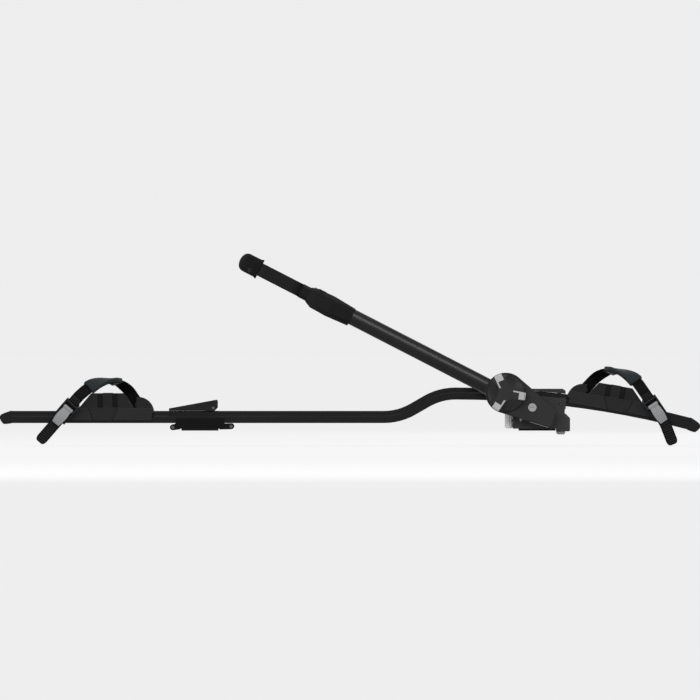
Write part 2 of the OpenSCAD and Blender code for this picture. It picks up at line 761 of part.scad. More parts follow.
module tray_shape(drop) {
    difference() {
        union() {
            intersection() {
                side_plate(-60, 60) tray_side(drop);
                translate([-tray_half - 1, 0, 0]) rotate([90, 0, 90]) linear_extrude(2 * tray_half + 2)
                    tray_section();
            }
            bar_y(boss_x, boss_z, 18, -strap_y - floor_c + floor_t, -skirt_half_w + 1);
            bar_y(hook_x, hook_z, 17, skirt_half_w - 1, anchor[1] - strap_t / 2 - slide_gap);
        }
        // Upright grooves in the walls and the sunk middle panel of each skirt
        for (s = [-1, 1]) {
            for (x = [-20.8, 9.8]) translate([x, s * skirt_half_w, skirt_top + 1]) wall_groove(s);
            side_plate(s * skirt_half_w - 0.9, s * skirt_half_w + 0.9)
                polygon([[-40, skirt_top - 1], [20, skirt_top - 1], [10.5, skirt_low + 2],
                         [-30.5, skirt_low + 2]]);
        }
        translate([0, 0, rail_h - 2]) cylinder(d = tray_bolt_d + 0.2, h = 20);
        translate([0, 0, groove_floor - 2.5]) cylinder(d = 13, h = 10);
        bar_y(boss_x, boss_z, 6, -strap_y - 5, -skirt_half_w + 1.5);
        bar_y(hook_x, hook_z, hook_d, skirt_half_w - 3, strap_y);
    }
}

// Groove that follows a wall's lean
module wall_groove(s) {
    lean = atan((wall_half_w - skirt_half_w) / (wall_top - skirt_top));
    depth = 1.2;
    rotate([-s * lean, 0, 0]) translate([0, s > 0 ? -depth : depth - 10, 0]) cube([10.6, 10, 60]);
}

module tray_bolt_shape() {
    color("silver") {
        translate([0, 0, rail_h - lip_h - tray_nut_h - 0.5])
            cylinder(d = tray_bolt_d, h = groove_floor - rail_h + lip_h + tray_nut_h - 2);
        translate([0, 0, groove_floor - 2.5]) cylinder(d = 12, h = 2.5);
    }
}

module tray_nut_shape() {
    color("silver") translate([0, 0, rail_h - lip_h - tray_nut_h - 0.3]) difference() {
        translate([-15, -channel_w / 2 + slide_gap, 0]) cube([30, channel_w - 2 * slide_gap, tray_nut_h]);
        translate([0, 0, -1]) cylinder(d = tray_bolt_d, h = tray_nut_h + 2);
    }
}

// Ladder strap: rings of four corners carried along its run, with ribs on the near stretch

run_end = 52;
arch_steps = 4;
arch_turn = [-90, -74, -40, -12, 14, 42, 70, 86, 90];
tail_from = 16;
bend_len = 20;
function run_dir(slope) = [cos(slope), 0, sin(slope)];
function arch(slope) = [
    buckle_at(slope) + run_end * run_dir(slope), [-41, -43, 71.5], [-24, -30, 82.5], [-5, -9, 88],
    [12.5, 12, 87], [27, 30, 80], [41.5, 43.5, 67.5], [53, 45.2, 51.5], anchor + [9, 0, -12.5],
];

function curve(p, i, t) =
    let (a = p[max(i - 1, 0)], b = p[i], c = p[i + 1], d = p[min(i + 2, len(p) - 1)])
    0.5 * (2 * b + (c - a) * t + (2 * a - 5 * b + 4 * c - d) * t * t + (3 * b - a - 3 * c + d) * t * t * t);
arch_last = len(arch_turn) - 1;
function along(p, q) = let (i = min(floor(q), arch_last - 1)) curve(p, i, q - i);
function unit(v) = v / norm(v);
function arch_dir(p, q) = unit(along(p, min(q + 0.02, arch_last)) - along(p, max(q - 0.02, 0)));

// A frame is place, way across and way outwards
function frame_of(p, way, turn) =
    let (up = [0, sin(turn), cos(turn)], side = unit(cross(way, up)))
    [p, side, cross(side, way)];
// The tail leaves its straight run on an arc, and goes on straight after it
function run_frame(slope, s, bend = 0) =
    let (past = max(-tail_from - s, 0), share = min(past / bend_len, 1), turn = bend * share,
         way = run_dir(slope + turn),
         arc_r = bend == 0 ? 0 : bend_len * 180 / PI / bend,
         arc = arc_r * [sin(slope + turn) - sin(slope), 0, cos(slope) - cos(slope + turn)])
    [buckle_at(slope) + max(s, -tail_from) * run_dir(slope)
         - (bend == 0 ? past * way : arc + max(past - bend_len, 0) * way),
     unit(cross(way, [0, -1, 0])), [0, -1, 0]];
function arch_frame(p, q) = frame_of(along(p, q), arch_dir(p, q), along(arch_turn, q));

function corners(f, w, low, high) = [
    f[0] - w / 2 * f[1] + low * f[2], f[0] + w / 2 * f[1] + low * f[2],
    f[0] + w / 2 * f[1] + high * f[2], f[0] - w / 2 * f[1] + high * f[2],
];

module ring_solid(rings) {
    n = len(rings);
    k = len(rings[0]);
    sides = [for (i = [0 : n - 2], j = [0 : k - 1]) each [
        [i * k + j, i * k + (j + 1) % k, (i + 1) * k + j],
        [i * k + (j + 1) % k, (i + 1) * k + (j + 1) % k, (i + 1) * k + j]]];
    ends = [for (j = [1 : k - 2]) each [[0, j + 1, j], [(n - 1) * k, (n - 1) * k + j, (n - 1) * k + j + 1]]];
    polyhedron([for (r = rings) each r], concat(sides, ends), convexity = 6);
}

rib_count = floor((tail_len + run_end - 5) / rib_pitch);

function rib_rings(slope, bend, i) =
    let (s = -tail_len + 3 + i * rib_pitch)
    [for (step = [[0, 0], [0.5, rib_h], [2.2, rib_h], [2.7, 0]])
        corners(run_frame(slope, s + step[0], bend), strap_w, -strap_t / 2, strap_t / 2 + step[1])];

module strap_shape(slope, bend) {
    low = -strap_t / 2;
    p = arch(slope);
    color("#171717") difference() {
        ring_solid(concat(
            [corners(run_frame(slope, -tail_len, bend), strap_w - 8, low, -low)],
            [for (i = [0 : rib_count - 1]) each rib_rings(slope, bend, i)],
            [for (q = [0 : 1 / arch_steps : arch_last]) corners(arch_frame(p, q), strap_w, low, -low)]));
        bar_y(hook_x, hook_z, hook_d + 2 * run_gap, skirt_half_w, strap_y + 10);
    }
}

// Pin that holds the strap's far end on the tray
hook_x = anchor[0] + 3;
hook_z = anchor[2] - 3;
hook_d = 6;

// Soft sleeve round the strap where it lies on the rim
pad_from = 1.1;
pad_to = 3.7;

module rim_pad_shape(slope) {
    wall = 3;
    gap = 0.5;
    p = arch(slope);
    frames = [for (q = [pad_from : (pad_to - pad_from) / 14 : pad_to + e]) arch_frame(p, q)];
    color("#3a4043") difference() {
        ring_solid([for (f = frames) corners(f, strap_w + 2 * (gap + wall), -strap_t / 2 - gap - wall,
                                             strap_t / 2 + gap + wall)]);
        ring_solid([for (i = [0 : len(frames) - 1])
            let (f = frames[i], out = i == 0 ? -1 : i == len(frames) - 1 ? 1 : 0, d = unit(cross(f[2], f[1])))
            corners([f[0] + out * d, f[1], f[2]], strap_w + 2 * gap, -strap_t / 2 - gap, strap_t / 2 + gap)]);
    }
}

module strap_pin_shape() {
    head_y = anchor[1] + strap_t / 2 + slide_gap;
    color("silver") {
        bar_y(hook_x, hook_z, hook_d, skirt_half_w - 2.5, head_y + e);
        bar_y(hook_x, hook_z, 2.2 * hook_d, head_y, head_y + 2.5);
    }
}

// Buckle, drawn with x towards the strap's tail and z outwards

cheek_t = 3;
cheek_in = strap_w / 2 + 1;
cheek_from = -34;
cheek_to = 14;
grip_pin_a = -17;
grip_pin_c = 6.6;
grip_pin_d = 4;

module buckle_shape(slope) {
    color("#1d1d1d") in_buckle(slope) difference() {
        union() {
            translate([cheek_from, -cheek_in - cheek_t, floor_c - floor_t])
                cube([cheek_to - cheek_from, 2 * (cheek_in + cheek_t), floor_t]);
            for (s = [-1, 1]) translate([0, s * (cheek_in + cheek_t / 2) + cheek_t / 2, 0]) rotate([90, 0, 0])
                linear_extrude(cheek_t) {
                    link([cheek_from + 4, floor_c - floor_t + 4], 4, [cheek_from + 5, 5.5], 4);
                    link([cheek_from + 5, 5.5], 4, [grip_pin_a, grip_pin_c], 4.5);
                    translate([cheek_from + 4, floor_c - floor_t]) square([cheek_to - cheek_from - 8, 7]);
                    polygon([[cheek_from + 6, 0], [cheek_from + 4, 6], [grip_pin_a, 9],
                             [cheek_to, floor_c + 3], [cheek_to, floor_c - floor_t]]);
                }
            // Bar that keeps the strap down
            translate([cheek_from + 5, cheek_in + cheek_t - e, 5.6]) rotate([90, 0, 0])
                cylinder(d = 6, h = 2 * (cheek_in + cheek_t - e));
        }
        translate([grip_pin_a, cheek_in + cheek_t + 1, grip_pin_c]) rotate([90, 0, 0])
            cylinder(d = grip_pin_d, h = 2 * (cheek_in + cheek_t + 1));
        translate([boss_a, 0, floor_c - floor_t - 1]) cylinder(d = 6, h = floor_t + 2);
    }
}

// Barrel-sided grey plate with the pawl under it
module buckle_grip_shape(slope) {
    side_r = 75;
    plate_low = 6.4;
    plate_t = 3.4;
    tail_end = grip_len / 2;
    crown_r = 62;
    color("#9b9b9b") in_buckle(slope) difference() {
        union() {
            intersection() {
                translate([0, 0, plate_low]) linear_extrude(plate_t + 2) intersection() {
                    translate([-grip_len / 2 + 3, -grip_w]) square([grip_len - 3, 2 * grip_w]);
                    translate([3, grip_w / 2 - side_r]) circle(side_r, $fn = fine);
                    translate([3, side_r - grip_w / 2]) circle(side_r, $fn = fine);
                }
                translate([3, grip_w, plate_low + plate_t + 1 - crown_r]) rotate([90, 0, 0])
                    cylinder(r = crown_r, h = 2 * grip_w, $fn = fine);
            }
            translate([grip_pin_a, grip_w / 2 - 0.5, grip_pin_c]) rotate([90, 0, 0])
                cylinder(d = 8, h = grip_w - 1);
            // Pawl
            translate([0, grip_w / 2 - 4, 0]) rotate([90, 0, 0]) linear_extrude(grip_w - 8)
                polygon([[grip_pin_a, grip_pin_c], [grip_pin_a + 14, plate_low + 1],
                         [grip_pin_a + 9, strap_t / 2 + rib_h + 0.35],
                         [grip_pin_a + 6, strap_t / 2 + rib_h + 0.35]]);
        }
        translate([grip_pin_a, grip_w, grip_pin_c]) rotate([90, 0, 0])
            cylinder(d = grip_pin_d + 2 * run_gap, h = 2 * grip_w);
    }
}

module buckle_pins_shape(slope) {
    color("silver") in_buckle(slope) {
        translate([grip_pin_a, cheek_in + cheek_t, grip_pin_c]) rotate([90, 0, 0])
            cylinder(d = grip_pin_d, h = 2 * (cheek_in + cheek_t));
        translate([boss_a, 0, floor_c - 13]) cylinder(d = 6, h = 13);
    }
}

module front_tray() { color("#2a2a2b") at_front_tray() tray_shape(0); }
module front_tray_bolt() { at_front_tray() tray_bolt_shape(); }
module front_tray_nut() { at_front_tray() tray_nut_shape(); }
module front_strap() { at_front_tray() strap_shape(strap_angle, 0); }
module front_rim_pad() { at_front_tray() rim_pad_shape(strap_angle); }
module front_strap_pin() { at_front_tray() strap_pin_shape(); }
module front_buckle() { at_front_tray() buckle_shape(strap_angle); }
module front_buckle_grip() { at_front_tray() buckle_grip_shape(strap_angle); }
module front_buckle_pins() { at_front_tray() buckle_pins_shape(strap_angle); }
module rear_tray() { color("#2a2a2b") at_rear_tray() tray_shape(rear_wall_drop); }
module rear_tray_bolt() { at_rear_tray() tray_bolt_shape(); }
module rear_tray_nut() { at_rear_tray() tray_nut_shape(); }
module rear_strap() { at_rear_tray() strap_shape(rear_strap_angle, rear_tail_bend); }
module rear_rim_pad() { at_rear_tray() rim_pad_shape(rear_strap_angle); }
module rear_strap_pin() { at_rear_tray() strap_pin_shape(); }
module rear_buckle() { at_rear_tray() buckle_shape(rear_strap_angle); }
module rear_buckle_grip() { at_rear_tray() buckle_grip_shape(rear_strap_angle); }
module rear_buckle_pins() { at_rear_tray() buckle_pins_shape(rear_strap_angle); }

// Arm, drawn with x along the arm, y towards the knob's side and z across the arm

knob_at = [knob_u, knob_w];
heel_a = [-7, 13];
heel_b = [-13, -10];

module cover_outline(inset) {
    link(knob_at, cover_r - inset, heel_a, 10 - inset);
    link(knob_at, cover_r - inset, heel_b, 8 - inset);
    link(heel_a, 10 - inset, heel_b, 8 - inset);
    polygon([knob_at, heel_a, heel_b]);
}

module arm_housing() {
    tube_socket = tube_start;
    color("#242424") in_arm() difference() {
        union() {
            difference() {
                side_plate(housing_back, housing_front) cover_outline(1);
                side_plate(housing_back + housing_wall, housing_front + 1) cover_outline(1 + housing_wall);
            }
            // Nest for the catch
            intersection() {
                translate([catch_u - catch_half - 3, catch_y0 - 3, catch_seat - 20])
                    cube([2 * catch_half + 6, housing_front - catch_y0 + 3, 20]);
                side_plate(housing_back, housing_front) cover_outline(1);
            }
            bar_y(0, 0, pivot_d + 14, housing_back, boss_end);
            bar_y(knob_u, knob_w, 16, housing_back, housing_back + 12);
            // Posts that the cover is screwed to
            for (p = cover_screw_at) bar_y(p[0], p[1], 9, housing_back, housing_front);
            // Collar for the tube
            intersection() {
                translate([tube_socket, 0, 0]) rotate([90, 0, 90]) linear_extrude(30)
                    translate([arm_y, 0]) square([housing_depth, tube_h + 5], center = true);
                side_plate(housing_back, housing_front) cover_outline(1);
            }
            // Guide for the rack
            translate([guide_u, housing_back + 1, rack_low - 4])
                cube([knob_u - 23.5 - guide_u, arm_y + rod_w / 2 + 3 - housing_back, 4 - slide_gap / 2]);
        }
        translate([catch_u - catch_half - slide_gap, catch_y0 - slide_gap, catch_seat - 20])
            cube([2 * (catch_half + slide_gap), catch_t + 2 * slide_gap, 22]);
        bar_y(0, 0, bush_d, housing_back - 1, boss_end + 1);
        for (p = cover_screw_at) bar_y(p[0], p[1], 4, housing_front - post_hole, housing_front + 1);
        bar_y(knob_u, knob_w, shaft_d + 2 * run_gap, housing_back + 2.5, housing_back + 20);
        translate([tube_socket, 0, 0]) rotate([90, 0, 90]) linear_extrude(60) translate([arm_y, 0])
            tube_outline();
        for (s = [-1, 1]) translate([tube_socket + 9, arm_y, 0]) cylinder(d = rivet_d, h = 60, center = true);
    }
}

catch_u = lock_u + 11;
catch_half = 6.2;
catch_y0 = arm_y - 3;
catch_t = 14;
catch_seat = -14;

catch_ear = 2;
guide_u = catch_u + catch_half + catch_ear + 1.6;

// Grey push catch under the cover, held up by its ears
module arm_catch() {
    color("#8a8a8a") in_arm() side_plate(catch_y0, catch_y0 + catch_t) {
        polygon([[catch_u - 2.5, catch_seat - 19.9], [catch_u + catch_half, catch_seat - 12],
                 [catch_u + catch_half, catch_seat + slide_gap],
                 [catch_u + catch_half + catch_ear, catch_seat + slide_gap],
                 [catch_u + catch_half + catch_ear, catch_seat + 3],
                 [catch_u - catch_half - catch_ear, catch_seat + 3],
                 [catch_u - catch_half - catch_ear, catch_seat + slide_gap],
                 [catch_u - catch_half, catch_seat + slide_gap],
                 [catch_u - catch_half, catch_seat - 9.5]]);
    }
}

tube_start = knob_u + 22.5;
tube_corner = 11;
tube_crown_r = 40;
bush_d = pivot_d + 5;
shaft_d = 8;
rivet_d = 4;
rod_w = 8;
rod_h = 8;
rack_module = 2 * pinion_r / pinion_teeth;
rack_pitch_w = knob_w - pinion_r;
rack_low = rack_pitch_w - 1.25 * rack_module - rod_h;

// Plastic bush whose flange runs against the rear foot
module arm_bush() {
    color("#d8d2c0") in_arm() difference() {
        union() {
            bar_y(0, 0, bush_d, housing_back - e, boss_end);
            bar_y(0, 0, flange_d, foot_half_w + slide_gap, housing_back);
        }
        bar_y(0, 0, pivot_d + 2 * run_gap, foot_half_w, boss_end + 1);
    }
}

flange_d = 34;

module arm_cover() {
    color("#333333") in_arm() difference() {
        union() {
            side_plate(housing_front, cover_front - 2) cover_outline(0);
            side_plate(cover_front - 2 - e, cover_front) cover_outline(2);
        }
        bar_y(knob_u, knob_w, shaft_d + 2 * run_gap, housing_front - 1, cover_front + 1);
        bar_y(lock_u, lock_w, lock_d - 2, housing_front - 1, cover_front + 1);
        bar_y(lock_u, lock_w, lock_d, cover_front - 2, cover_front + 1);
        for (p = cover_screw_at) {
            bar_y(p[0], p[1], 4, housing_front - 1, cover_front + 1);
            bar_y(p[0], p[1], 7.4, cover_front - 3.2, cover_front + 1);
        }
        // Shallow well round the knob's foot
        side_plate(cover_front - 1, cover_front + 1) difference() {
            translate(knob_at) circle(knob_r + 1);
            translate(knob_at) circle(8);
        }
    }
}

lock_w = 3.5;
cover_screw_at = [knob_at + [-26, 16], knob_at + [10, -29]];
post_hole = 12;

module cover_screws() {
    color("#3c3c3c") in_arm() for (p = cover_screw_at) {
        bar_y(p[0], p[1], 4, housing_front - post_hole + 1, cover_front - 3.2 + e);
        bar_y(p[0], p[1], 7.2, cover_front - 3.2, cover_front - 1.2);
    }
}

// Outside of the tube, with a crown on its near and far faces
module tube_outline() {
    intersection() {
        soft_rect(tube_w, tube_h, tube_corner);
        translate([tube_w / 2 - tube_crown_r, 0]) circle(tube_crown_r);
        translate([tube_crown_r - tube_w / 2, 0]) circle(tube_crown_r);
    }
}

module arm_tube() {
    color("#1c1c1c") in_arm() difference() {
        translate([tube_start, 0, 0]) rotate([90, 0, 90]) linear_extrude(tube_end - tube_start)
            translate([arm_y, 0])
            difference() {
                tube_outline();
                soft_rect(tube_w - 2 * tube_wall, tube_h - 2 * tube_wall, tube_corner - tube_wall);
            }
        translate([tube_start + 9, arm_y, 0]) cylinder(d = rivet_d, h = 60, center = true);
    }
}

tube_end = hinge_u - 32;

module tube_rivets() {
    color("silver") in_arm() for (s = [-1, 1])
        translate([tube_start + 9, arm_y, s * (tube_h / 2 - tube_wall / 2 + 0.7)])
        cylinder(d = rivet_d, h = tube_wall + 2, center = true);
}

// Jaws

// Stadium band between two distances from the jaws' middle line
module band(r_in, r_out) {
    difference() {
        union() {
            for (u = [ring_low_u, ring_high_u]) translate([u, ring_y]) circle(r_out, $fn = 96);
            translate([ring_low_u, ring_y - r_out]) square([jaw_straight, 2 * r_out]);
        }
        for (u = [ring_low_u, ring_high_u]) translate([u, ring_y]) circle(r_in, $fn = 96);
        translate([ring_low_u, ring_y - r_in]) square([jaw_straight, 2 * r_in]);
    }
}

module half_plane(u0, u1, near) {
    gap = 4;
    translate([u0, near ? ring_y + gap : ring_y - gap - far]) square([u1 - u0, far]);
}

far = 200;
hub_sleeve = 46;
hub_back = 28;
hub_fore = 14;
hub_drop = 3;
hub_nose = 22;

jaw_in = jaw_r - jaw_t / 2;
jaw_out = jaw_r + jaw_t / 2;
boot_u = ring_high_u + 14;
core_in = jaw_r - 3.5;
core_out = jaw_r + 3.5;
hub_half_w = tube_h / 2 + 1.8;
ear_gap = 0.4;
tail_low = 0.2;
tail_t = 8;

// Flat band on the near face, with a flank above and below it that leans back
module hub_section(half_w, y0, y1) {
    band_half = jaw_w / 2 + 1;
    flank = 11;
    round_off = 4;
    polygon([[half_w, y0 + round_off], [half_w, y1 - flank], [band_half, y1], [-band_half, y1],
             [-half_w, y1 - flank],
             [-half_w, y0 + round_off], [round_off - half_w, y0], [half_w - round_off, y0]]);
}

module jaw_hub() {
    ear_high = jaw_w / 2 + ear_gap;
    hub_y0 = hinge_y + knuckle_d / 2 + 0.6;
    hub_y1 = arm_y + tube_w / 2 + 4;
    color("#2a2a2a") in_arm() difference() {
        union() {
            hull() {
                translate([tube_end - hub_sleeve, arm_y, -hub_drop / 2]) rotate([0, 90, 0]) linear_extrude(1)
                    soft_rect(tube_h + 2 + hub_drop, tube_w + 2, tube_corner, $fn = 32);
                translate([hinge_u - hub_back, 0, -hub_drop / 2]) rotate([0, 90, 0]) linear_extrude(1)
                    hub_section(hub_half_w + 2.3 + hub_drop / 2, hub_y0, hub_y1);
                translate([hinge_u + hub_fore - 6, 0, -hub_drop / 2]) rotate([0, 90, 0]) linear_extrude(1)
                    hub_section(hub_half_w + 1 + hub_drop / 2, hub_y0, hub_y1);
                translate([hinge_u + hub_nose, (hub_y0 + hub_y1) / 2, 0]) rotate([0, 90, 0]) linear_extrude(1)
                    soft_rect(jaw_w + 6, hub_y1 - hub_y0 - 2, 6, $fn = 32);
            }
            // Neck that the fixed jaw is pushed on
            hull() {
                translate([hinge_u + hub_fore, (hub_y0 + hub_y1) / 2, 0]) rotate([0, 90, 0]) linear_extrude(1)
                    soft_rect(jaw_w + 4, hub_y1 - hub_y0 - 1, 10, $fn = 32);
                translate([hub_end_u - 1, arm_y, 0]) rotate([0, 90, 0]) linear_extrude(1)
                    soft_rect(jaw_w + 4, jaw_t + 6, 6, $fn = 32);
            }
            for (s = [-1, 1]) jaw_plate(s > 0 ? ear_high : -ear_high - ear_t,
                                        s > 0 ? ear_high + ear_t : -ear_high)
                link([hinge_u, hinge_y], knuckle_d / 2, [hinge_u, arm_y - 6], knuckle_d / 2);
        }
        translate([hinge_u, hinge_y, -far / 2]) cylinder(d = hinge_pin_d, h = far);
        // Room for the knuckle
        jaw_plate(-ear_high, ear_high) translate([hinge_u, hinge_y]) circle(knuckle_d / 2 + 0.5);
        // Socket for the tube
        translate([tube_end - 50, 0, 0]) rotate([90, 0, 90]) linear_extrude(50) translate([arm_y, 0])
            tube_outline();
        // Chamber for the rod's end and the moving jaw's tail
        jaw_plate(rack_low - 1, tail_low + tail_t + 1) {
            translate([tube_end - 1, arm_y - 11.5]) square([rod_pin_u + rod_travel + 14 - tube_end, 23]);
        }
        jaw_plate(tail_low - 0.6, tail_low + tail_t + 0.6)
            polygon([[hinge_u - hub_fore, hinge_y], [hinge_u + hub_fore, hinge_y],
                     [hinge_u + hub_back, arm_y + 4], [hinge_u - hub_back, arm_y + 4]]);
        // Pocket for the fixed jaw's tongue
        tongue(0);
    }
}

ear_t = 6;

module tongue(gap) {
    translate([hub_end_u - 9, arm_y - 4, -8]) cube([9 - gap + e, 8, 16]);
}

module fixed_jaw() {
    half = jaw_w / 2 + 1;
    color("#252525") in_arm() {
        jaw_plate(-half, half) intersection() {
            band(jaw_in, jaw_out);
            half_plane(hub_end_u, boot_u, true);
        }
        jaw_plate(-half + 2, half - 2) intersection() {
            band(core_in, core_out);
            half_plane(boot_u - 1, 900, true);
        }
        tongue(-1);
    }
}

module pad_outline(near) {
    t = 8;
    s = near ? 1 : -1;
    y = ring_y + s * jaw_in;
    bumps = 5;
    pitch = jaw_straight / bumps;
    translate([ring_low_u, min(y, y - s * t)]) square([jaw_straight, t]);
    for (i = [0 : bumps - 1]) translate([ring_low_u + (i + 0.5) * pitch, y - s * t]) circle(pitch * 0.38);
}

module fixed_jaw_pad() {
    color("#151515") in_arm() jaw_plate(-jaw_w / 2 + 1, jaw_w / 2 - 1) pad_outline(true);
}

module moving_jaw_pad() {
    color("#151515") in_arm() jaw_plate(-jaw_w / 2 + 1, jaw_w / 2 - 1) pad_outline(false);
}

// Rubber boot over a jaw's tip, rounded as seen from the side
module boot_shape(near) {
    gap = 4 - 1.5;
    half = (near ? jaw_w / 2 + 1 : jaw_w / 2) - 2;
    difference() {
        intersection() {
            jaw_plate(-boot_w / 2, boot_w / 2) intersection() {
                band(jaw_in - 2, jaw_out + 1);
                translate([boot_u + 0.2, near ? ring_y + gap : ring_y - gap - far]) square(far);
            }
            side_plate(-far, far) tip_outline();
        }
        jaw_plate(-half, half) intersection() {
            band(core_in, core_out);
            half_plane(boot_u - 2, 900, near);
        }
    }
}

module tip_outline() {
    r = 16;
    end_u = ring_high_u + jaw_out + 1;
    translate([boot_u - 1, r - boot_w / 2]) square([end_u - boot_u + 1, boot_w - 2 * r]);
    translate([boot_u - 1, -boot_w / 2]) square([end_u - r - boot_u + 1, boot_w]);
    for (s = [-1, 1]) translate([end_u - r, s * (boot_w / 2 - r)]) circle(r);
}

module fixed_jaw_boot() { color("#1a1a1a") in_arm() boot_shape(true); }
module moving_jaw_boot() { color("#1a1a1a") in_arm() boot_shape(false); }

module jaw_hinge_pin() {
    ear_high = jaw_w / 2 + ear_gap + ear_t;
    color("silver") in_arm() translate([hinge_u, hinge_y, 0]) {
        cylinder(d = hinge_pin_d, h = 2 * ear_high, center = true);
        for (s = [-1, 1]) translate([0, 0, s * (ear_high + 0.9)])
            cylinder(d = hinge_pin_d + 6, h = 1.8, center = true);
    }
}

module moving_jaw() {
    half = jaw_w / 2;
    slot = rod_pin_d + 1;
    color("#252525") in_arm() difference() {
        union() {
            jaw_plate(-half, half) {
                intersection() {
                    band(jaw_in, jaw_out);
                    half_plane(0, boot_u, false);
                }
                difference() {
                    translate([hinge_u, hinge_y]) circle(knuckle_d / 2);
                    translate([hinge_u + 14, hinge_y - 6]) square(40);
                }
                link([hinge_u + 2, hinge_y - 6], 10, [ring_low_u - jaw_r + 6, ring_y - 14], 7);
            }
            jaw_plate(-half + 2, half - 2) intersection() {
                band(core_in, core_out);
                half_plane(boot_u - 1, 900, false);
            }
            // Tail that the pull rod works on
            translate([hinge_u, hinge_y, 0]) rotate(rest_crank) jaw_plate(tail_low, tail_low + tail_t)
                link([0, 0], 10, [0, crank / cos(rest_crank)], 7.5);
        }
        translate([hinge_u, hinge_y, -far / 2]) cylinder(d = hinge_pin_d + 2 * run_gap, h = far);
        translate([hinge_u, hinge_y, 0]) rotate(rest_crank) jaw_plate(tail_low - 1, tail_low + tail_t + 1)
            link([0, crank - 1], slot / 2, [0, crank / cos(rest_crank) + 1], slot / 2);
    }
}

rod_pin_d = 6;

module pull_rod() {
    rack_from = knob_u - rod_travel - 9;
    rack_to = knob_u + 9;
    teeth = ceil((rack_to - rack_from) / (PI * rack_module));
    top_w = rack_pitch_w - 1.25 * rack_module;
    color("silver") in_arm() {
        translate([rack_from - 4, arm_y - rod_w / 2, rack_low])
            cube([rod_pin_u - rack_from + 4, rod_w, rod_h]);
        // Rack teeth, spaced from the tooth gap under the knob's axis
        side_plate(arm_y - rod_w / 2, arm_y + rod_w / 2) for (i = [-teeth : 3]) {
            u = knob_u + (i + 0.5) * PI * rack_module;
            if (u > rack_from && u < rack_to)
                polygon([[u - 0.95 * rack_module, top_w - e],
                         [u - 0.3 * rack_module, rack_pitch_w + 0.9 * rack_module],
                         [u + 0.3 * rack_module, rack_pitch_w + 0.9 * rack_module],
                         [u + 0.95 * rack_module, top_w - e]]);
        }
        translate([rod_pin_u, arm_y, rack_low]) cylinder(d = 14, h = rod_h);
        translate([rod_pin_u, arm_y, rack_low]) cylinder(d = rod_pin_d, h = tail_low + tail_t - rack_low);
    }
}

// Knob, drawn about its own axis with z towards its face

module on_knob() {
    in_arm() translate([knob_u, 0, knob_w]) rotate([-90, 0, 0]) children();
}

accent_angles = [115, 236, 349.5];
recess_angles = [175.5, 292.75, 52.25];

// Angles as seen from the knob's side, counted from the rail's rear towards up
function face_angle(a) = a + arm_angle - 180;

module accent_cut() {
    for (a = accent_angles) rotate(face_angle(a)) {
        translate([knob_r - 11, -8, knob_back + 3]) cube([15, 16, knob_front - knob_back]);
        translate([knob_r - 24, 5, knob_front - 1.4]) cube([15, 3, 4]);
    }
}

module knob() {
    color("#2d2d2d") on_knob() difference() {
        translate([0, 0, knob_back]) rotate_extrude()
            polygon([[0, 0], [knob_r, 0], [knob_r, knob_h - 4], [knob_r - 4, knob_h], [0, knob_h]]);
        for (a = recess_angles) rotate(face_angle(a)) translate([knob_r + 3, 0, knob_front + 4])
            sphere(r = 25);
        accent_cut();
        translate([0, 0, knob_back - 1]) cylinder(d = shaft_d, h = knob_h - 6);
        translate([0, 0, knob_back - e]) difference() {
            cylinder(r = knob_r - 4, h = 7);
            cylinder(r = 9, h = 8);
        }
    }
}

module knob_accents() {
    color("#8d8d8d") on_knob() intersection() {
        accent_cut();
        translate([0, 0, knob_back]) rotate_extrude()
            polygon([[0, 0], [knob_r + 3, 0], [knob_r + 3, knob_h - 3], [knob_r - 1, knob_h + 0.5],
                     [0, knob_h + 0.5]]);
    }
}

wheel_at = 63;
wheel_t = 4;
wheel_r = 20;
notch_depth = 4;
notch_w = 3;

function involute(rb, t) = rb * [cos(t) + t * PI / 180 * sin(t), sin(t) - t * PI / 180 * cos(t)];

module pinion_outline() {
    rb = pinion_r * cos(20);
    root = pinion_r - 1.2 * rack_module;
    pitch = 360 / pinion_teeth;
    half = 0.19 * pitch;
    at_pitch = tan(20) * 180 / PI - 20;
    steps = [0 : 9 : 36];
    circle(root + 0.2);
    for (i = [0 : pinion_teeth - 1]) rotate(90 + i * pitch) {
        flank = [for (t = steps) let (p = involute(rb, t),
                                      a = half + at_pitch - atan2(p[1], p[0])) norm(p) * [cos(a), sin(a)]];
        polygon(concat([[root * 0.8, -root * 0.3]], [for (p = flank) [p[0], -p[1]]],
                       [for (k = [len(flank) - 1 : -1 : 0]) flank[k]], [[root * 0.8, root * 0.3]]));
    }
}

module knob_shaft() {
    color("#777777") on_knob() {
        translate([0, 0, housing_back + 3])
            cylinder(d = shaft_d, h = knob_back + knob_h - 10 - housing_back - 3);
        translate([0, 0, arm_y - 6]) linear_extrude(12) pinion_outline();
        translate([0, 0, wheel_at]) linear_extrude(wheel_t) difference() {
            circle(wheel_r);
            for (i = [0 : lock_notches - 1]) rotate(i * 360 / lock_notches)
                translate([wheel_r - notch_depth, -notch_w / 2]) square([notch_depth + 1, notch_w]);
        }
    }
}

module lock_barrel() {
    color("#9c9c9c") in_arm() difference() {
        union() {
            bar_y(lock_u, lock_w, lock_d - 2, housing_front - 4, cover_front - 2 + e);
            bar_y(lock_u, lock_w, lock_d, cover_front - 2, cover_front + 0.8);
        }
        bar_y(lock_u, lock_w, plug_d + 2 * run_gap, housing_front - 10, cover_front + 5);
    }
}

plug_d = 11;

module lock_plug() {
    color("silver") in_arm() difference() {
        union() {
            bar_y(lock_u, lock_w, plug_d, housing_front - 7, cover_front + 0.4);
            bar_y(lock_u, lock_w, plug_d + 4, housing_front - 7, housing_front - 4.2);
        }
        translate([lock_u, cover_front, lock_w]) rotate([0, -45, 0]) cube([1.6, 8, 7.5], center = true);
    }
}

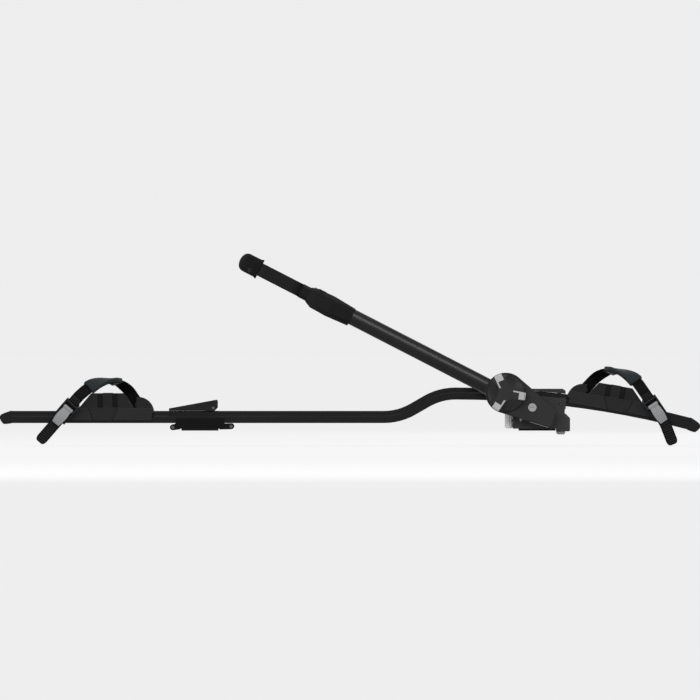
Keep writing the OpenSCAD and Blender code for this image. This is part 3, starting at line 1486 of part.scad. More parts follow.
rail();
front_end_cap();
rear_end_cap();
front_foot_base();
front_bar_pad();
front_strap_pins();
front_draw_bolt();
front_draw_nut();
front_cam_plate();
front_lever();
front_lever_pin();
rear_foot_body();
rear_bar_pad();
rear_clamp_plate();
rear_clamp_bolts();
rear_clamp_nuts();
rear_bar_hook();
tension_barrel();
draw_screw();
arm_pivot_bolt();
arm_pivot_nut();

front_tray();
front_tray_bolt();
front_tray_nut();
front_strap();
front_rim_pad();
front_strap_pin();
front_buckle();
front_buckle_grip();
front_buckle_pins();
rear_tray();
rear_tray_bolt();
rear_tray_nut();
rear_strap();
rear_rim_pad();
rear_strap_pin();
rear_buckle();
rear_buckle_grip();
rear_buckle_pins();
arm_housing();
arm_cover();
cover_screws();
arm_bush();
arm_tube();
tube_rivets();
jaw_hub();
fixed_jaw();
fixed_jaw_pad();
fixed_jaw_boot();
jaw_hinge_pin();
moving_jaw();
moving_jaw_pad();
moving_jaw_boot();
pull_rod();
knob();
knob_accents();
knob_shaft();
lock_barrel();
lock_plug();
arm_catch();
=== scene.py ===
# %% [markdown]
# # A roof mounted bike carrier
# The carrier's solids come ready from CAD: rail, feet, trays, arm, jaws and knob.
# They could be modelled again in Blender, but then joints and sizes would drift,
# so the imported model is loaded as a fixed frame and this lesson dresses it.

# %% Load the frame
import json
import math

import bpy
import numpy as np
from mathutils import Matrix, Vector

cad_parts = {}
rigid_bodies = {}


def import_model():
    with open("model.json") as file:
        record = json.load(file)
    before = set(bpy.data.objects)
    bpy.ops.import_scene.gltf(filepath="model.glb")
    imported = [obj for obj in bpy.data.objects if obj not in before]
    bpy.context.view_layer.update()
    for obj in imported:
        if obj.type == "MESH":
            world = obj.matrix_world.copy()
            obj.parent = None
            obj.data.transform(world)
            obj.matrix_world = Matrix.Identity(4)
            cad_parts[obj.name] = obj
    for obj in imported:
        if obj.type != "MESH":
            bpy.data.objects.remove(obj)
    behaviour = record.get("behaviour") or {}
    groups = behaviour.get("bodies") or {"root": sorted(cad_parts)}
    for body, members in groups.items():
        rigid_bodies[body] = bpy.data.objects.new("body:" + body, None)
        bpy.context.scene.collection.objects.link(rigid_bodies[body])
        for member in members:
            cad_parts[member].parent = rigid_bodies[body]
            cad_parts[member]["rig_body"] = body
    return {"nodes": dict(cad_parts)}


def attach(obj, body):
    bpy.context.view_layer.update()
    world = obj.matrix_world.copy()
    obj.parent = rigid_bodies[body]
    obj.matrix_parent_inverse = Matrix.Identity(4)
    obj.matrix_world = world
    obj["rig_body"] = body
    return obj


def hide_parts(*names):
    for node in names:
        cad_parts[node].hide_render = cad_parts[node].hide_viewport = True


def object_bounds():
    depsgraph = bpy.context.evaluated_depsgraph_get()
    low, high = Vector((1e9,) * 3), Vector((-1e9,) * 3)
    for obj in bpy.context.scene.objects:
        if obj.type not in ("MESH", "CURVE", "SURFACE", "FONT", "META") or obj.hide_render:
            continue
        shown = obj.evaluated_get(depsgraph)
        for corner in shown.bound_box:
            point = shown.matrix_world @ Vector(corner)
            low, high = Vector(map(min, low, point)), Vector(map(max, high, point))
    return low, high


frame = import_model()
cad_low, cad_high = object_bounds()
nodes = frame["nodes"]
MM = 0.001

# %% [markdown]
# The camera looks straight at the carrier's side, as a catalogue photographer does.
# A camera a few metres away would show the far pieces smaller than the near ones,
# so a very long lens stands 20 m off and the rail stays a straight band.

# %% Camera
VIEW_CENTRE = (-0.3884, 0.1672)
VIEW_WIDTH = 1.454
CAMERA_AWAY = 20.0
SENSOR = 36.0

camera_data = bpy.data.cameras.new("side_camera")
camera_data.sensor_width = SENSOR
camera_data.lens = SENSOR * CAMERA_AWAY / VIEW_WIDTH
camera_data.clip_start = 0.1
camera_data.clip_end = 2000.0
camera = bpy.data.objects.new("side_camera", camera_data)
camera.location = (VIEW_CENTRE[0], -CAMERA_AWAY, VIEW_CENTRE[1])
camera.rotation_euler = (math.pi / 2, 0, 0)
scene = bpy.context.scene
scene.collection.objects.link(camera)
scene.camera = camera
scene.view_settings.view_transform = "Standard"
print("lens", round(camera_data.lens), "mm")

# %% [markdown]
# A finish is written as sums and products of patterns. Adding Math nodes by hand
# works, but a formula is easier to read, so one small class wraps a socket and
# turns + - * / and powers into Math nodes. Every other node comes from one method.


# %% Shader formulas
class Wire:
    """A node's output that can be added, subtracted, multiplied and raised."""

    def __init__(self, tree, socket):
        self.tree = tree
        self.socket = socket

    def maths(self, operation, first, second):
        return self.tree.node("Math", {"operation": operation}, {0: first, 1: second})

    def __add__(self, other):
        return self.maths("ADD", self, other)

    def __sub__(self, other):
        return self.maths("SUBTRACT", self, other)

    def __rsub__(self, other):
        return self.maths("SUBTRACT", other, self)

    def __mul__(self, other):
        return self.maths("MULTIPLY", self, other)

    def __truediv__(self, other):
        return self.maths("DIVIDE", self, other)

    def __pow__(self, other):
        return self.maths("POWER", self, other)

    __radd__ = __add__
    __rmul__ = __mul__

    def clipped(self):
        return self.tree.node("Clamp", {}, {0: self})

    def size(self):
        return self.maths("ABSOLUTE", self, 0.0)

    def above(self, level, soft):
        """0 below the level, 1 above it, with a ramp that is soft wide."""
        return ((self - level) / soft + 0.5).clipped()


class Tree:
    """A node tree with one way to add a node: type, settings, then sockets."""

    def __init__(self, tree):
        self.tree = tree

    def node(self, kind, settings, values, out=0):
        made = self.tree.nodes.new("ShaderNode" + kind)
        for key, value in settings.items():
            setattr(made, key, value)
        for key, value in values.items():
            self.feed(made.inputs[key], value)
        return Wire(self, made.outputs[out])

    def feed(self, socket, value):
        if isinstance(value, Wire):
            self.tree.links.new(value.socket, socket)
        else:
            socket.default_value = value


class Finish(Tree):
    """A material whose constants sit on the shader and whose patterns feed it."""

    def __init__(self, name, constants):
        self.material = bpy.data.materials.new(name)
        self.material.use_nodes = True
        super().__init__(self.material.node_tree)
        self.shader = self.tree.nodes["Principled BSDF"]
        self.set(constants)
        self.place = self.node("TexCoord", {}, {}, out="Object")

    def set(self, values):
        for key, value in values.items():
            self.feed(self.shader.inputs[key], value)

    def noise(self, size, detail=2.0, stretch=None):
        """Cloudy values about a half, with clouds of the given size in metres."""
        place = self.place
        if stretch:
            place = self.node("Mapping", {}, {"Vector": place, "Scale": stretch})
        return self.node("TexNoise", {}, {"Vector": place, "Scale": 1 / size, "Detail": detail})

    def blend(self, factor, first, second):
        colours = {0: factor, 6: (*first, 1), 7: (*second, 1)}
        return self.node("Mix", {"data_type": "RGBA"}, colours, out=2)

    def round_edges(self, radius):
        """Normals that lean over an edge as if it had this radius."""
        return self.node("Bevel", {"samples": 6}, {"Radius": radius})

    def edge_mask(self, softened, gain):
        """How far the softened normal leans from the true one, as 0 to 1."""
        true = self.node("NewGeometry", {}, {}, out="Normal")
        lean = self.node("VectorMath", {"operation": "DOT_PRODUCT"}, {0: softened, 1: true}, out="Value")
        return ((1.0 - lean) * gain).clipped()

    def bump(self, height, depth, normal):
        values = {"Height": height, "Distance": depth, "Strength": 1.0, "Normal": normal}
        return self.node("Bump", {}, values)


def grey(level, tint=(0, 0, 0)):
    """A screen value from 0 to 255, turned into the linear colour shaders take."""
    screen = (np.array([level] * 3) + np.array(tint)) / 255
    linear = np.where(screen <= 0.04045, screen / 12.92, ((screen + 0.055) / 1.055) ** 2.4)
    return tuple(float(v) for v in linear)


print("mid grey is", grey(128))

# %% [markdown]
# Most of the carrier is black moulded plastic. One flat black would look like a
# drawing, so the colour clouds a little, a fine grain dulls the shine, and the
# corners, rubbed smooth by hands, are rounder and a shade lighter than the flats.


# %% Moulded plastic
def moulded(name, level, rough, grain=0.0006, depth=0.00003, edge=0.0007,
            tint=(0, 0, 1), shine=0.12, wear=6):
    """Colour is the level plus clouds and worn corners; roughness follows the grain."""
    finish = Finish(name, {"Specular IOR Level": shine})
    soft = finish.round_edges(edge)
    worn = finish.edge_mask(soft, 2.0)
    clouds = finish.noise(0.05, 3.0)
    speck = finish.noise(grain, 1.0)
    share = (clouds * 0.7 + speck * 0.3 + worn * 0.8 - 0.2).clipped()
    finish.set({
        "Base Color": finish.blend(share, grey(level * 0.88, tint), grey(level + wear, tint)),
        "Roughness": (speck * 0.16 + clouds * 0.08 + (rough - 0.12) - worn * 0.08).clipped(),
        "Normal": finish.bump(speck, depth, soft),
    })
    return finish.material


plastics = {
    "foot_plastic": (moulded("foot_plastic", 50, 0.52), ["rear_foot_body", "rear_clamp_plate"]),
    "base_plastic": (moulded("base_plastic", 10, 0.55, shine=0.06, wear=4), ["front_foot_base"]),
    "cap_plastic": (moulded("cap_plastic", 16, 0.55), ["front_end_cap", "rear_end_cap"]),
    "lever_plastic": (moulded("lever_plastic", 16, 0.48), ["front_lever"]),
    "cover_plastic": (moulded("cover_plastic", 40, 0.5, grain=0.0009), ["arm_cover", "arm_housing"]),
    "knob_plastic": (moulded("knob_plastic", 38, 0.45, edge=0.0012), ["knob"]),
    "head_plastic": (moulded("head_plastic", 6, 0.42, edge=0.0015, shine=0.1),
                     ["jaw_hub", "fixed_jaw", "moving_jaw"]),
    "buckle_plastic": (moulded("buckle_plastic", 18, 0.42), ["front_buckle", "rear_buckle"]),
    "grip_plastic": (moulded("grip_plastic", 142, 0.42, tint=(-1, 0, 1), wear=14),
                     ["front_buckle_grip", "rear_buckle_grip", "arm_catch"]),
    "accent_plastic": (moulded("accent_plastic", 175, 0.42, wear=12), ["knob_accents"]),
    "barrel_plastic": (moulded("barrel_plastic", 246, 0.4, wear=9), ["tension_barrel"]),
    "bush_nylon": (moulded("bush_nylon", 196, 0.45, tint=(4, 0, -14), wear=10), ["arm_bush"]),
}
print("plastics:", ", ".join(plastics))

# %% [markdown]
# The rail is extruded aluminium, anodised black: the die leaves faint lines along
# it. A brushed texture image would do, but noise stretched hard along the rail
# gives the same streaks from a formula, in both colour and roughness.


# %% Anodised rail and powder coated tube
def anodised(name, level, rough):
    """Streaks are noise 400 times longer along X than across."""
    finish = Finish(name, {"Specular IOR Level": 0.1})
    soft = finish.round_edges(0.0005)
    streaks = finish.noise(0.0008, 2.0, stretch=(0.0025, 1, 1))
    clouds = finish.noise(0.12, 2.0)
    worn = finish.edge_mask(soft, 2.0)
    share = (streaks * 0.6 + clouds * 0.4 + worn * 0.7 - 0.1).clipped()
    finish.set({
        "Base Color": finish.blend(share, grey(level * 0.8), grey(level + 8)),
        "Roughness": (streaks * 0.14 + (rough - 0.07)).clipped(),
        "Normal": finish.bump(streaks, 0.000008, soft),
    })
    return finish.material


def powder_coat(name, level, rough):
    """Orange peel: two sizes of soft noise pressed into a glossy skin."""
    finish = Finish(name, {"Specular IOR Level": 0.2, "Coat Roughness": 0.2})
    soft = finish.round_edges(0.0006)
    peel = finish.noise(0.0024, 1.0) * 0.7 + finish.noise(0.0007, 1.0) * 0.3
    clouds = finish.noise(0.08, 2.0)
    finish.set({
        "Base Color": finish.blend(clouds, grey(level * 0.85), grey(level + 4)),
        "Roughness": (peel * 0.12 + (rough - 0.06)).clipped(),
        "Coat Weight": (clouds * 0.1 + 0.02).clipped(),
        "Normal": finish.bump(peel, 0.00005, soft),
    })
    return finish.material


coats = {
    "rail_anodised": (anodised("rail_anodised", 14, 0.42), ["rail"]),
    "tube_powder": (powder_coat("tube_powder", 6, 0.24), ["arm_tube"]),
}
print("coats:", ", ".join(coats))

# %% [markdown]
# Rubber is the dullest black here: it scatters light and shows dust. Metal pins and
# bolts are the opposite, mirrors with fine turning marks. Both use the same noise,
# once as dust on a rough skin and once as roughness on a metal one.


# %% Rubber and metal
def rubber(name, level):
    """Dust is the upper part of a cloud; pores are a fine bump."""
    finish = Finish(name, {"Specular IOR Level": 0.08})
    soft = finish.round_edges(0.001)
    dust = finish.noise(0.02, 4.0)
    pores = finish.noise(0.0005, 1.0)
    share = (dust * 1.4 - 0.3 + pores * 0.2).clipped()
    finish.set({
        "Base Color": finish.blend(share, grey(level * 0.8), grey(level + 8, (0, 0, 1))),
        "Roughness": (pores * 0.2 + 0.62).clipped(),
        "Normal": finish.bump(pores, 0.00004, soft),
    })
    return finish.material


def metal(name, level, rough, tint=(0, 0, 0)):
    """A metal whose roughness and tone follow fine turning marks and a few stains."""
    finish = Finish(name, {"Metallic": 1.0})
    soft = finish.round_edges(0.0004)
    marks = finish.noise(0.0004, 2.0)
    stains = finish.noise(0.012, 3.0)
    share = (stains * 0.8 + marks * 0.2).clipped()
    finish.set({
        "Base Color": finish.blend(share, grey(level * 0.86, tint), grey(level + 8, tint)),
        "Roughness": (marks * 0.14 + stains * 0.1 + (rough - 0.12)).clipped(),
        "Normal": finish.bump(marks, 0.000006, soft),
    })
    return finish.material


others = {
    "bar_rubber": (rubber("bar_rubber", 17),
                   ["front_bar_pad", "rear_bar_pad", "fixed_jaw_pad", "moving_jaw_pad",
                    "fixed_jaw_boot", "moving_jaw_boot"]),
    "plated_steel": (metal("plated_steel", 190, 0.32, (0, 1, 4)),
                     ["front_draw_bolt", "front_draw_nut", "rear_clamp_bolts", "rear_clamp_nuts",
                      "arm_pivot_bolt", "arm_pivot_nut", "front_tray_bolt", "front_tray_nut",
                      "rear_tray_bolt", "rear_tray_nut", "draw_screw", "pull_rod"]),
    "hook_steel": (metal("hook_steel", 112, 0.45), ["rear_bar_hook"]),
    "lock_zinc": (metal("lock_zinc", 134, 0.4), ["lock_barrel", "lock_plug"]),
    "black_steel": (metal("black_steel", 74, 0.45),
                    ["front_strap_pins", "front_lever_pin", "front_cam_plate", "front_buckle_pins",
                     "rear_buckle_pins", "front_strap_pin", "rear_strap_pin", "cover_screws",
                     "tube_rivets", "jaw_hinge_pin", "knob_shaft"]),
}
print("others:", ", ".join(others))

# %% [markdown]
# The wheel trays are the same plastic, with painted shade in their sunk panels and
# creases and a painted highlight along the ledge. Painting a mask would work; here a
# formula finds the sunk places itself, from how far a point lies behind the tray's
# outer face, in the tray's own measures.

# %% Tray plastic
CREST_X = -169.338
CREST_Z = 64.3
REAR_R = 1900.0
REAR_X = 154.0
REAR_TILT = math.asin((REAR_X - CREST_X) / REAR_R)
FRONT_AT = np.array([-891.0, 0, 15.6])
REAR_AT = np.array([REAR_X, 0, CREST_Z - REAR_R * (1 - math.cos(REAR_TILT))])
SKIRT_HALF, SKIRT_TOP = 30.0, 31.0
WALL_LEAN = 12.0 / 30.7
PANEL_FROM, PANEL_TO = 0.45, 1.9
CREASE_RIGHT, CREASE_LEFT, CREASE_TOP = 20.0, -40.0, 30.0
CREASE_COS, CREASE_SIN = 0.923, 0.385
CREASE_HALF = 0.8
LEDGE_HALF = 0.6
# TRAY_SHADE is the colour of the painted shade in the sunk panels and creases.
TRAY_DARK, TRAY_LIGHT, TRAY_SHADE = 25, 44, 7


def tray_plastic(name, place, tilt, mirror):
    """Depth behind the face is its distance minus |y|; the face leans out above the skirt."""
    finish = Finish(name, {"Specular IOR Level": 0.12})
    soft = finish.round_edges(0.0007)
    worn = finish.edge_mask(soft, 2.0)
    clouds = finish.noise(0.05, 3.0)
    speck = finish.noise(0.0006, 1.0)
    own = finish.node("Mapping", {"vector_type": "TEXTURE"}, {
        "Vector": finish.place,
        "Location": place * MM,
        "Rotation": (0, tilt, 0),
        "Scale": (mirror * MM, MM, MM),
    })
    x, y, z = (finish.node("SeparateXYZ", {}, {0: own}, out=k) for k in range(3))
    wall = z.above(SKIRT_TOP + 0.4, 0.4)
    depth = SKIRT_HALF + wall * (z - SKIRT_TOP) * WALL_LEAN - y.size()
    # The sunk panels and the crease lines get painted shade; the ledge gets a painted highlight.
    sunk = depth.above(PANEL_FROM, 0.2) * (1.0 - depth.above(PANEL_TO, 0.2))
    right = ((x - CREASE_RIGHT) * CREASE_COS - (z - CREASE_TOP) * CREASE_SIN).size()
    left = ((x - CREASE_LEFT) * CREASE_COS + (z - CREASE_TOP) * CREASE_SIN).size()
    crease = (1.0 - right.above(CREASE_HALF, 0.5) * left.above(CREASE_HALF, 0.5)) * (1.0 - wall)
    # Painted highlight: a lighter band along the ledge at the skirt's top.
    ledge_highlight = 1.0 - (z - SKIRT_TOP).size().above(LEDGE_HALF, 0.5)
    # Painted shade: the sunk panels, deeper on the wall, and thin crease lines are mixed towards
    # TRAY_SHADE.
    painted_shade = (sunk * wall * 0.75 + sunk * (1.0 - wall) * 0.12 + crease * 0.75).clipped()
    share = (clouds * 0.3 + speck * 0.2 + worn * 0.5 + ledge_highlight * 0.55 - 0.05).clipped()
    lit = finish.blend(share, grey(TRAY_DARK), grey(TRAY_LIGHT, (0, 0, 1)))
    shades = {0: painted_shade, 6: lit, 7: (*grey(TRAY_SHADE), 1)}
    shaded = finish.node("Mix", {"data_type": "RGBA"}, shades, out=2)
    finish.set({
        "Base Color": shaded,
        "Roughness": (speck * 0.16 + clouds * 0.08 + painted_shade * 0.25 + 0.4 - worn * 0.08).clipped(),
        "Normal": finish.bump(speck, 0.00003, soft),
    })
    return finish.material


for name, place, tilt, mirror in (("front", FRONT_AT, 0.0, 1), ("rear", REAR_AT, REAR_TILT, -1)):
    finish_name = f"{name}_tray_plastic"
    plastics[finish_name] = (tray_plastic(finish_name, place, tilt, mirror), [f"{name}_tray"])
print("rear tray tilts", round(math.degrees(REAR_TILT), 2), "degrees")

# %% Put the finishes on the CAD pieces
dressed = set()
for material, names in [*plastics.values(), *coats.values(), *others.values()]:
    for name in names:
        slots = nodes[name].data.materials
        slots.clear()
        slots.append(material)
        dressed.add(name)
print("still undressed:", sorted(set(nodes) - dressed))

# %% [markdown]
# The straps and the soft sleeves on them are flexible, so their CAD blocks are
# replaced. Each is a profile carried along the strap's run, which could be a Blender
# curve with a bevel; numpy is chosen because ribs and crowns are then one formula.


# %% Strap run
STRAP_Y = 47.0
BOSS_AWAY = 21.0
FRONT_SLOPE, REAR_SLOPE = math.radians(49), math.radians(46)
FRONT_BEND, REAR_BEND = math.radians(0.001), math.radians(13)
BEND_FROM, BEND_LEN = 16.0, 20.0
RUN_END = 52.0
TAIL = 75.0
OVER = np.array([
    [-41, -43, 71.5], [-24, -30, 82.5], [-5, -9, 88], [12.5, 12, 87], [27, 30, 80], [41.5, 43.5, 67.5],
    [53, 45.2, 51.5], [69.2, 45.5, 27],
])
ARCH_TURN = np.array([-90, -74, -40, -12, 14, 42, 70, 86, 90.0])
ARCH_LAST = len(ARCH_TURN) - 1


def run_way(slope):
    return np.stack([np.cos(slope), 0 * slope, np.sin(slope)], -1)


BOSS = np.array([-92.6, -STRAP_Y, 17.4]) + BOSS_AWAY * run_way(FRONT_SLOPE)


def through(points, q):
    """Catmull-Rom: each span is the cubic through its ends with its neighbours' slope."""
    last = len(points) - 1
    i = np.minimum(np.floor(q).astype(int), last - 1)
    a, b = points[np.maximum(i - 1, 0)], points[i]
    c, d = points[i + 1], points[np.minimum(i + 2, last)]
    t = (q - i) if points.ndim == 1 else (q - i)[:, None]
    return 0.5 * (2 * b + (c - a) * t + (2 * a - 5 * b + 4 * c - d) * t**2 + (3 * b - a - 3 * c + d) * t**3)


def unit(v):
    return v / np.linalg.norm(v, axis=-1, keepdims=True)


def arch_frames(slope, q):
    """Place, way across and way outwards at each q along the arch."""
    arch = np.concatenate([[BOSS + (RUN_END - BOSS_AWAY) * run_way(slope)], OVER])
    along = unit(through(arch, np.minimum(q + 0.02, ARCH_LAST)) - through(arch, np.maximum(q - 0.02, 0)))
    turn = np.radians(through(ARCH_TURN, q))
    up = np.stack([0 * turn, np.sin(turn), np.cos(turn)], -1)
    side = unit(np.cross(along, up))
    return through(arch, q), side, np.cross(side, along)


def run_frames(slope, bend, s):
    """The same beside the tray, s from the buckle: straight, then an arc, then straight."""
    past = np.maximum(-BEND_FROM - s, 0)
    turned = slope + bend * np.minimum(past / BEND_LEN, 1)
    way = run_way(turned)
    arc = np.stack([np.sin(turned) - np.sin(slope), 0 * s, np.cos(slope) - np.cos(turned)], -1)
    arc = arc * BEND_LEN / bend
    straight = BOSS + (np.maximum(s, -BEND_FROM) - BOSS_AWAY)[:, None] * run_way(slope)
    beyond = np.maximum(past - BEND_LEN, 0)[:, None] * way
    out = np.broadcast_to([0.0, -1.0, 0.0], (len(s), 3))
    return straight - arc - beyond, unit(np.cross(way, out)), out


print("arch points:", ARCH_LAST + 1)

# %% [markdown]
# The front tray stands square on the flat rail. The rear tray is its mirror image,
# tilted on the falling end of the rail. Two small functions place a finished shape,
# and the mesh maker turns faces round where the mirror left them inside out.

# %% Placing and meshing
def on_front_tray(points):
    return points + FRONT_AT


def on_rear_tray(points):
    """Mirror in X, tilt about Y by the rail's slope, then move to the rail."""
    x, y, z = -points[..., 0], points[..., 1], points[..., 2]
    c, s = math.cos(REAR_TILT), math.sin(REAR_TILT)
    return np.stack([c * x + s * z, y, c * z - s * x], -1) + REAR_AT


TRAYS = {
    "front": (on_front_tray, FRONT_SLOPE, FRONT_BEND),
    "rear": (on_rear_tray, REAR_SLOPE, REAR_BEND),
}


def ring_faces(rows, columns, closed):
    """Quads between neighbouring rings; closed joins the last ring to the first."""
    i = np.arange(rows if closed else rows - 1)[:, None]
    j = np.arange(columns)[None, :]
    near, far = i * columns, (i + 1) % rows * columns
    after = (j + 1) % columns
    return np.stack([near + j, near + after, far + after, far + j], -1).reshape(-1, 4)


def make_piece(name, rings, closed, material, body, stands_for, sharp=40):
    """Rings become a closed skin: quads, and a flat face on each open end."""
    rows, columns, _ = rings.shape
    points = rings.reshape(-1, 3) * MM
    quads = ring_faces(rows, columns, closed)
    a, b, c, d = (points[quads[:, k]] for k in range(4))
    volume = (np.cross(a, b) * c + np.cross(a, c) * d).sum() / 6
    if volume < 0:
        quads = quads[:, ::-1]
    faces = quads.tolist()
    if not closed:
        ends = [np.arange(columns)[::-1], np.arange(columns) + (rows - 1) * columns]
        faces += [(end if volume > 0 else end[::-1]).tolist() for end in ends]
    mesh = bpy.data.meshes.new(name)
    mesh.from_pydata(points.tolist(), [], faces)
    mesh.polygons.foreach_set("use_smooth", np.ones(len(faces), bool))
    mesh.set_sharp_from_angle(angle=math.radians(sharp))
    mesh.materials.append(material)
    piece = bpy.data.objects.new(name, mesh)
    scene.collection.objects.link(piece)
    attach(piece, body)
    if stands_for:
        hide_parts(*stands_for)
    print(name, "faces", len(faces), "volume", round(abs(volume) * 1e6, 2), "cm3")
    return piece


# %% [markdown]
# A ladder strap is a flat plastic band with teeth that the buckle's pawl drops into,
# between two smooth rails. The teeth could be an array of small blocks; as a wave
# added to the band's top they join it without seams.

# %% Ladder straps
STRAP_W = 23.5
STRAP_T = 3.0
RIB_PITCH = 4.6
RIB_H = 1.0
RIB_LAST = 46.5
RIB_SHINE = 0.55
RIB_START = 3.0
TOOTH_LEN, TOOTH_RAMP = 2.7, 0.5
NOSE_LEN, NOSE_SHARE = 11.0, 0.42
RAIL_FROM, RAIL_RAMP, RAIL_SHARE = 0.74, 0.04, 0.75
EDGE_DROP, EDGE_POWER = 0.3, 24
STEPS_A_RIB, STEPS_A_SPAN = 12, 14


def strap_plastic():
    """Satin black with faint flow lines; the teeth carry a painted highlight, lighter on their tops."""
    finish = Finish("strap_plastic", {"Specular IOR Level": 0.04})
    flow = finish.noise(0.004, 2.0)
    fine = finish.noise(0.0005, 1.0)
    tooth = finish.node("Attribute", {"attribute_name": "tooth"}, {}, out="Fac")
    # Painted highlight: the teeth are blended towards a lighter grey by RIB_SHINE.
    share = (flow * 0.1 + tooth * RIB_SHINE).clipped()
    finish.set({
        "Base Color": finish.blend(share, grey(3), grey(52, (0, 0, 1))),
        "Roughness": (fine * 0.14 + flow * 0.1 + 0.34 - tooth * 0.06).clipped(),
        "Normal": finish.bump(fine, 0.00002, finish.round_edges(0.0005)),
    })
    return finish.material


def rib_wave(s):
    """One tooth a pitch: a ramp of half a millimetre up, a flat, and a ramp down."""
    phase = np.mod(s + TAIL - RIB_START, RIB_PITCH)
    tooth = np.clip(np.minimum(phase, TOOTH_LEN - phase) / TOOTH_RAMP, 0, 1)
    return tooth * (s > RIB_START - TAIL) * (s < RIB_LAST)


def strap_rings(slope, bend):
    """Top and bottom of the band across its width, at each place along its run."""
    s = np.arange(-TAIL, RUN_END, RIB_PITCH / STEPS_A_RIB)
    q = np.arange(0, ARCH_LAST + 1e-6, 1 / STEPS_A_SPAN)
    both = zip(run_frames(slope, bend, s), arch_frames(slope, q))
    place, side, out = (np.concatenate(pair) for pair in both)
    nose = np.clip((s + TAIL) / NOSE_LEN, 0, 1)
    round_nose = NOSE_SHARE + (1 - NOSE_SHARE) * np.sqrt(1 - (1 - nose) ** 2)
    half = STRAP_W / 2 * np.concatenate([round_nose, 0 * q + 1])
    wave = np.concatenate([rib_wave(s), 0 * q])
    rail_ends = np.clip((s + TAIL - 2) / 2, 0, 1) * np.clip((RIB_LAST + 2 - s) / 2, 0, 1)
    ribbed = np.concatenate([rail_ends, 0 * q])
    top = np.linspace(-1, 1, 33)
    low = np.linspace(1, -1, 17)
    rail = np.clip((np.abs(top) - RAIL_FROM) / RAIL_RAMP, 0, 1)
    rim = 1 - EDGE_DROP * np.abs(top) ** EDGE_POWER
    raised = RIB_H * (wave[:, None] * (1 - rail) + RAIL_SHARE * ribbed[:, None] * rail)
    high = (STRAP_T / 2 * rim) + raised * rim
    under = -STRAP_T / 2 * (1 - EDGE_DROP * np.abs(low) ** EDGE_POWER)
    deep = np.broadcast_to(under, (len(place), len(low)))
    across = np.concatenate([top, low])[None, :] * half[:, None]
    lift = np.concatenate([high, deep], 1)
    tooth = np.concatenate([wave[:, None] * (1 - rail), 0 * deep], 1)
    return place[:, None] + across[..., None] * side[:, None] + lift[..., None] * out[:, None], tooth


strap_finish = strap_plastic()
for name, (put, slope, bend) in TRAYS.items():
    rings, tooth = strap_rings(slope, bend)
    node = f"{name}_strap"
    strap = make_piece(f"{name}_ladder_strap", put(rings), False, strap_finish, nodes[node]["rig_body"],
                       [node])
    strap.data.attributes.new("tooth", "FLOAT", "POINT").data.foreach_set("value", tooth.ravel())

# %% [markdown]
# Where the strap lies on the wheel's rim it wears a soft sleeve. It is a closed
# tube: one skin outside, one inside round the strap, joined at both mouths, so the
# profile's path runs out along the strap and back again like a sock turned in.

# %% Rim sleeves
SLEEVE_FROM = 1.1
SLEEVE_TO = 3.7
SLEEVE_GAP = 0.5
SLEEVE_WALL = 3.0
SLEEVE_GROOVES = 7
GROOVE_DEEP, GROOVE_HALF = 0.45, 0.1
LIP_LEN, LIP_DROP = 0.05, 0.3


def sleeve_foam():
    """Bluish grey closed-cell rubber with fine cells and a chalky bloom."""
    sheen = {"Specular IOR Level": 0.1, "Sheen Weight": 0.03, "Sheen Roughness": 0.5}
    finish = Finish("sleeve_foam", sheen)
    cells = finish.noise(0.0007, 2.0)
    bloom = finish.noise(0.012, 3.0)
    share = (bloom * 0.7 + cells * 0.4 - 0.05).clipped()
    finish.set({
        "Base Color": finish.blend(share, grey(26, (0, 3, 5)), grey(35, (0, 4, 6))),
        "Roughness": (cells * 0.2 + 0.58).clipped(),
        "Normal": finish.bump(cells, 0.00005, finish.round_edges(0.0008)),
    })
    return finish.material


def oval(angle, half_w, half_t, power):
    """Superellipse: cos and sin raised to 2/power, so that a big power is boxy."""
    c, s = np.cos(angle), np.sin(angle)
    bent = 2 / power
    return np.sign(c) * np.abs(c) ** bent * half_w, np.sign(s) * np.abs(s) ** bent * half_t


def sleeve_rings(slope, q_from, q_to, wall, crown, grooves):
    """Outer skin with a crown and shallow cross grooves, then the inner skin back."""
    along = np.linspace(0, 1, 12 * grooves + 13)
    angle = np.linspace(0, 2 * math.pi, 64, endpoint=False)
    place, side, out = arch_frames(slope, q_from + (q_to - q_from) * along)
    lip = 1 - np.clip(1 - np.minimum(along, 1 - along) / LIP_LEN, 0, 1) ** 2 * LIP_DROP
    from_groove = np.abs(np.mod(along * (grooves + 1), 1) - 0.5)
    groove = np.clip(1 - from_groove / GROOVE_HALF, 0, 1) * GROOVE_DEEP
    groove *= (along > 0.06) * (along < 0.94) * (grooves > 0)
    half_w = STRAP_W / 2 + SLEEVE_GAP + wall * lip
    half_t = STRAP_T / 2 + SLEEVE_GAP + crown * lip - groove
    unit_w, unit_t = oval(angle, 1, 1, 5)
    outer = place[:, None] + (half_w[:, None] * unit_w)[..., None] * side[:, None]
    outer = outer + (half_t[:, None] * unit_t)[..., None] * out[:, None]
    in_w, in_t = oval(angle, STRAP_W / 2 + SLEEVE_GAP, STRAP_T / 2 + SLEEVE_GAP, 9)
    inner = place[:, None] + in_w[None, :, None] * side[:, None] + in_t[None, :, None] * out[:, None]
    return np.concatenate([outer, inner[::-1]])


sleeve_finish = sleeve_foam()
for name, (put, slope, _) in TRAYS.items():
    rings = put(sleeve_rings(slope, SLEEVE_FROM, SLEEVE_TO, SLEEVE_WALL, SLEEVE_WALL, SLEEVE_GROOVES))
    node = f"{name}_rim_pad"
    sleeve = make_piece(f"{name}_rim_sleeve", rings, True, sleeve_finish, nodes[node]["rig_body"],
                        [node], sharp=60)

# %% [markdown]
# A hard loop on the strap stops the sleeve from sliding down the far side. It is
# the sleeve's formula again, only shorter, thicker and without grooves.

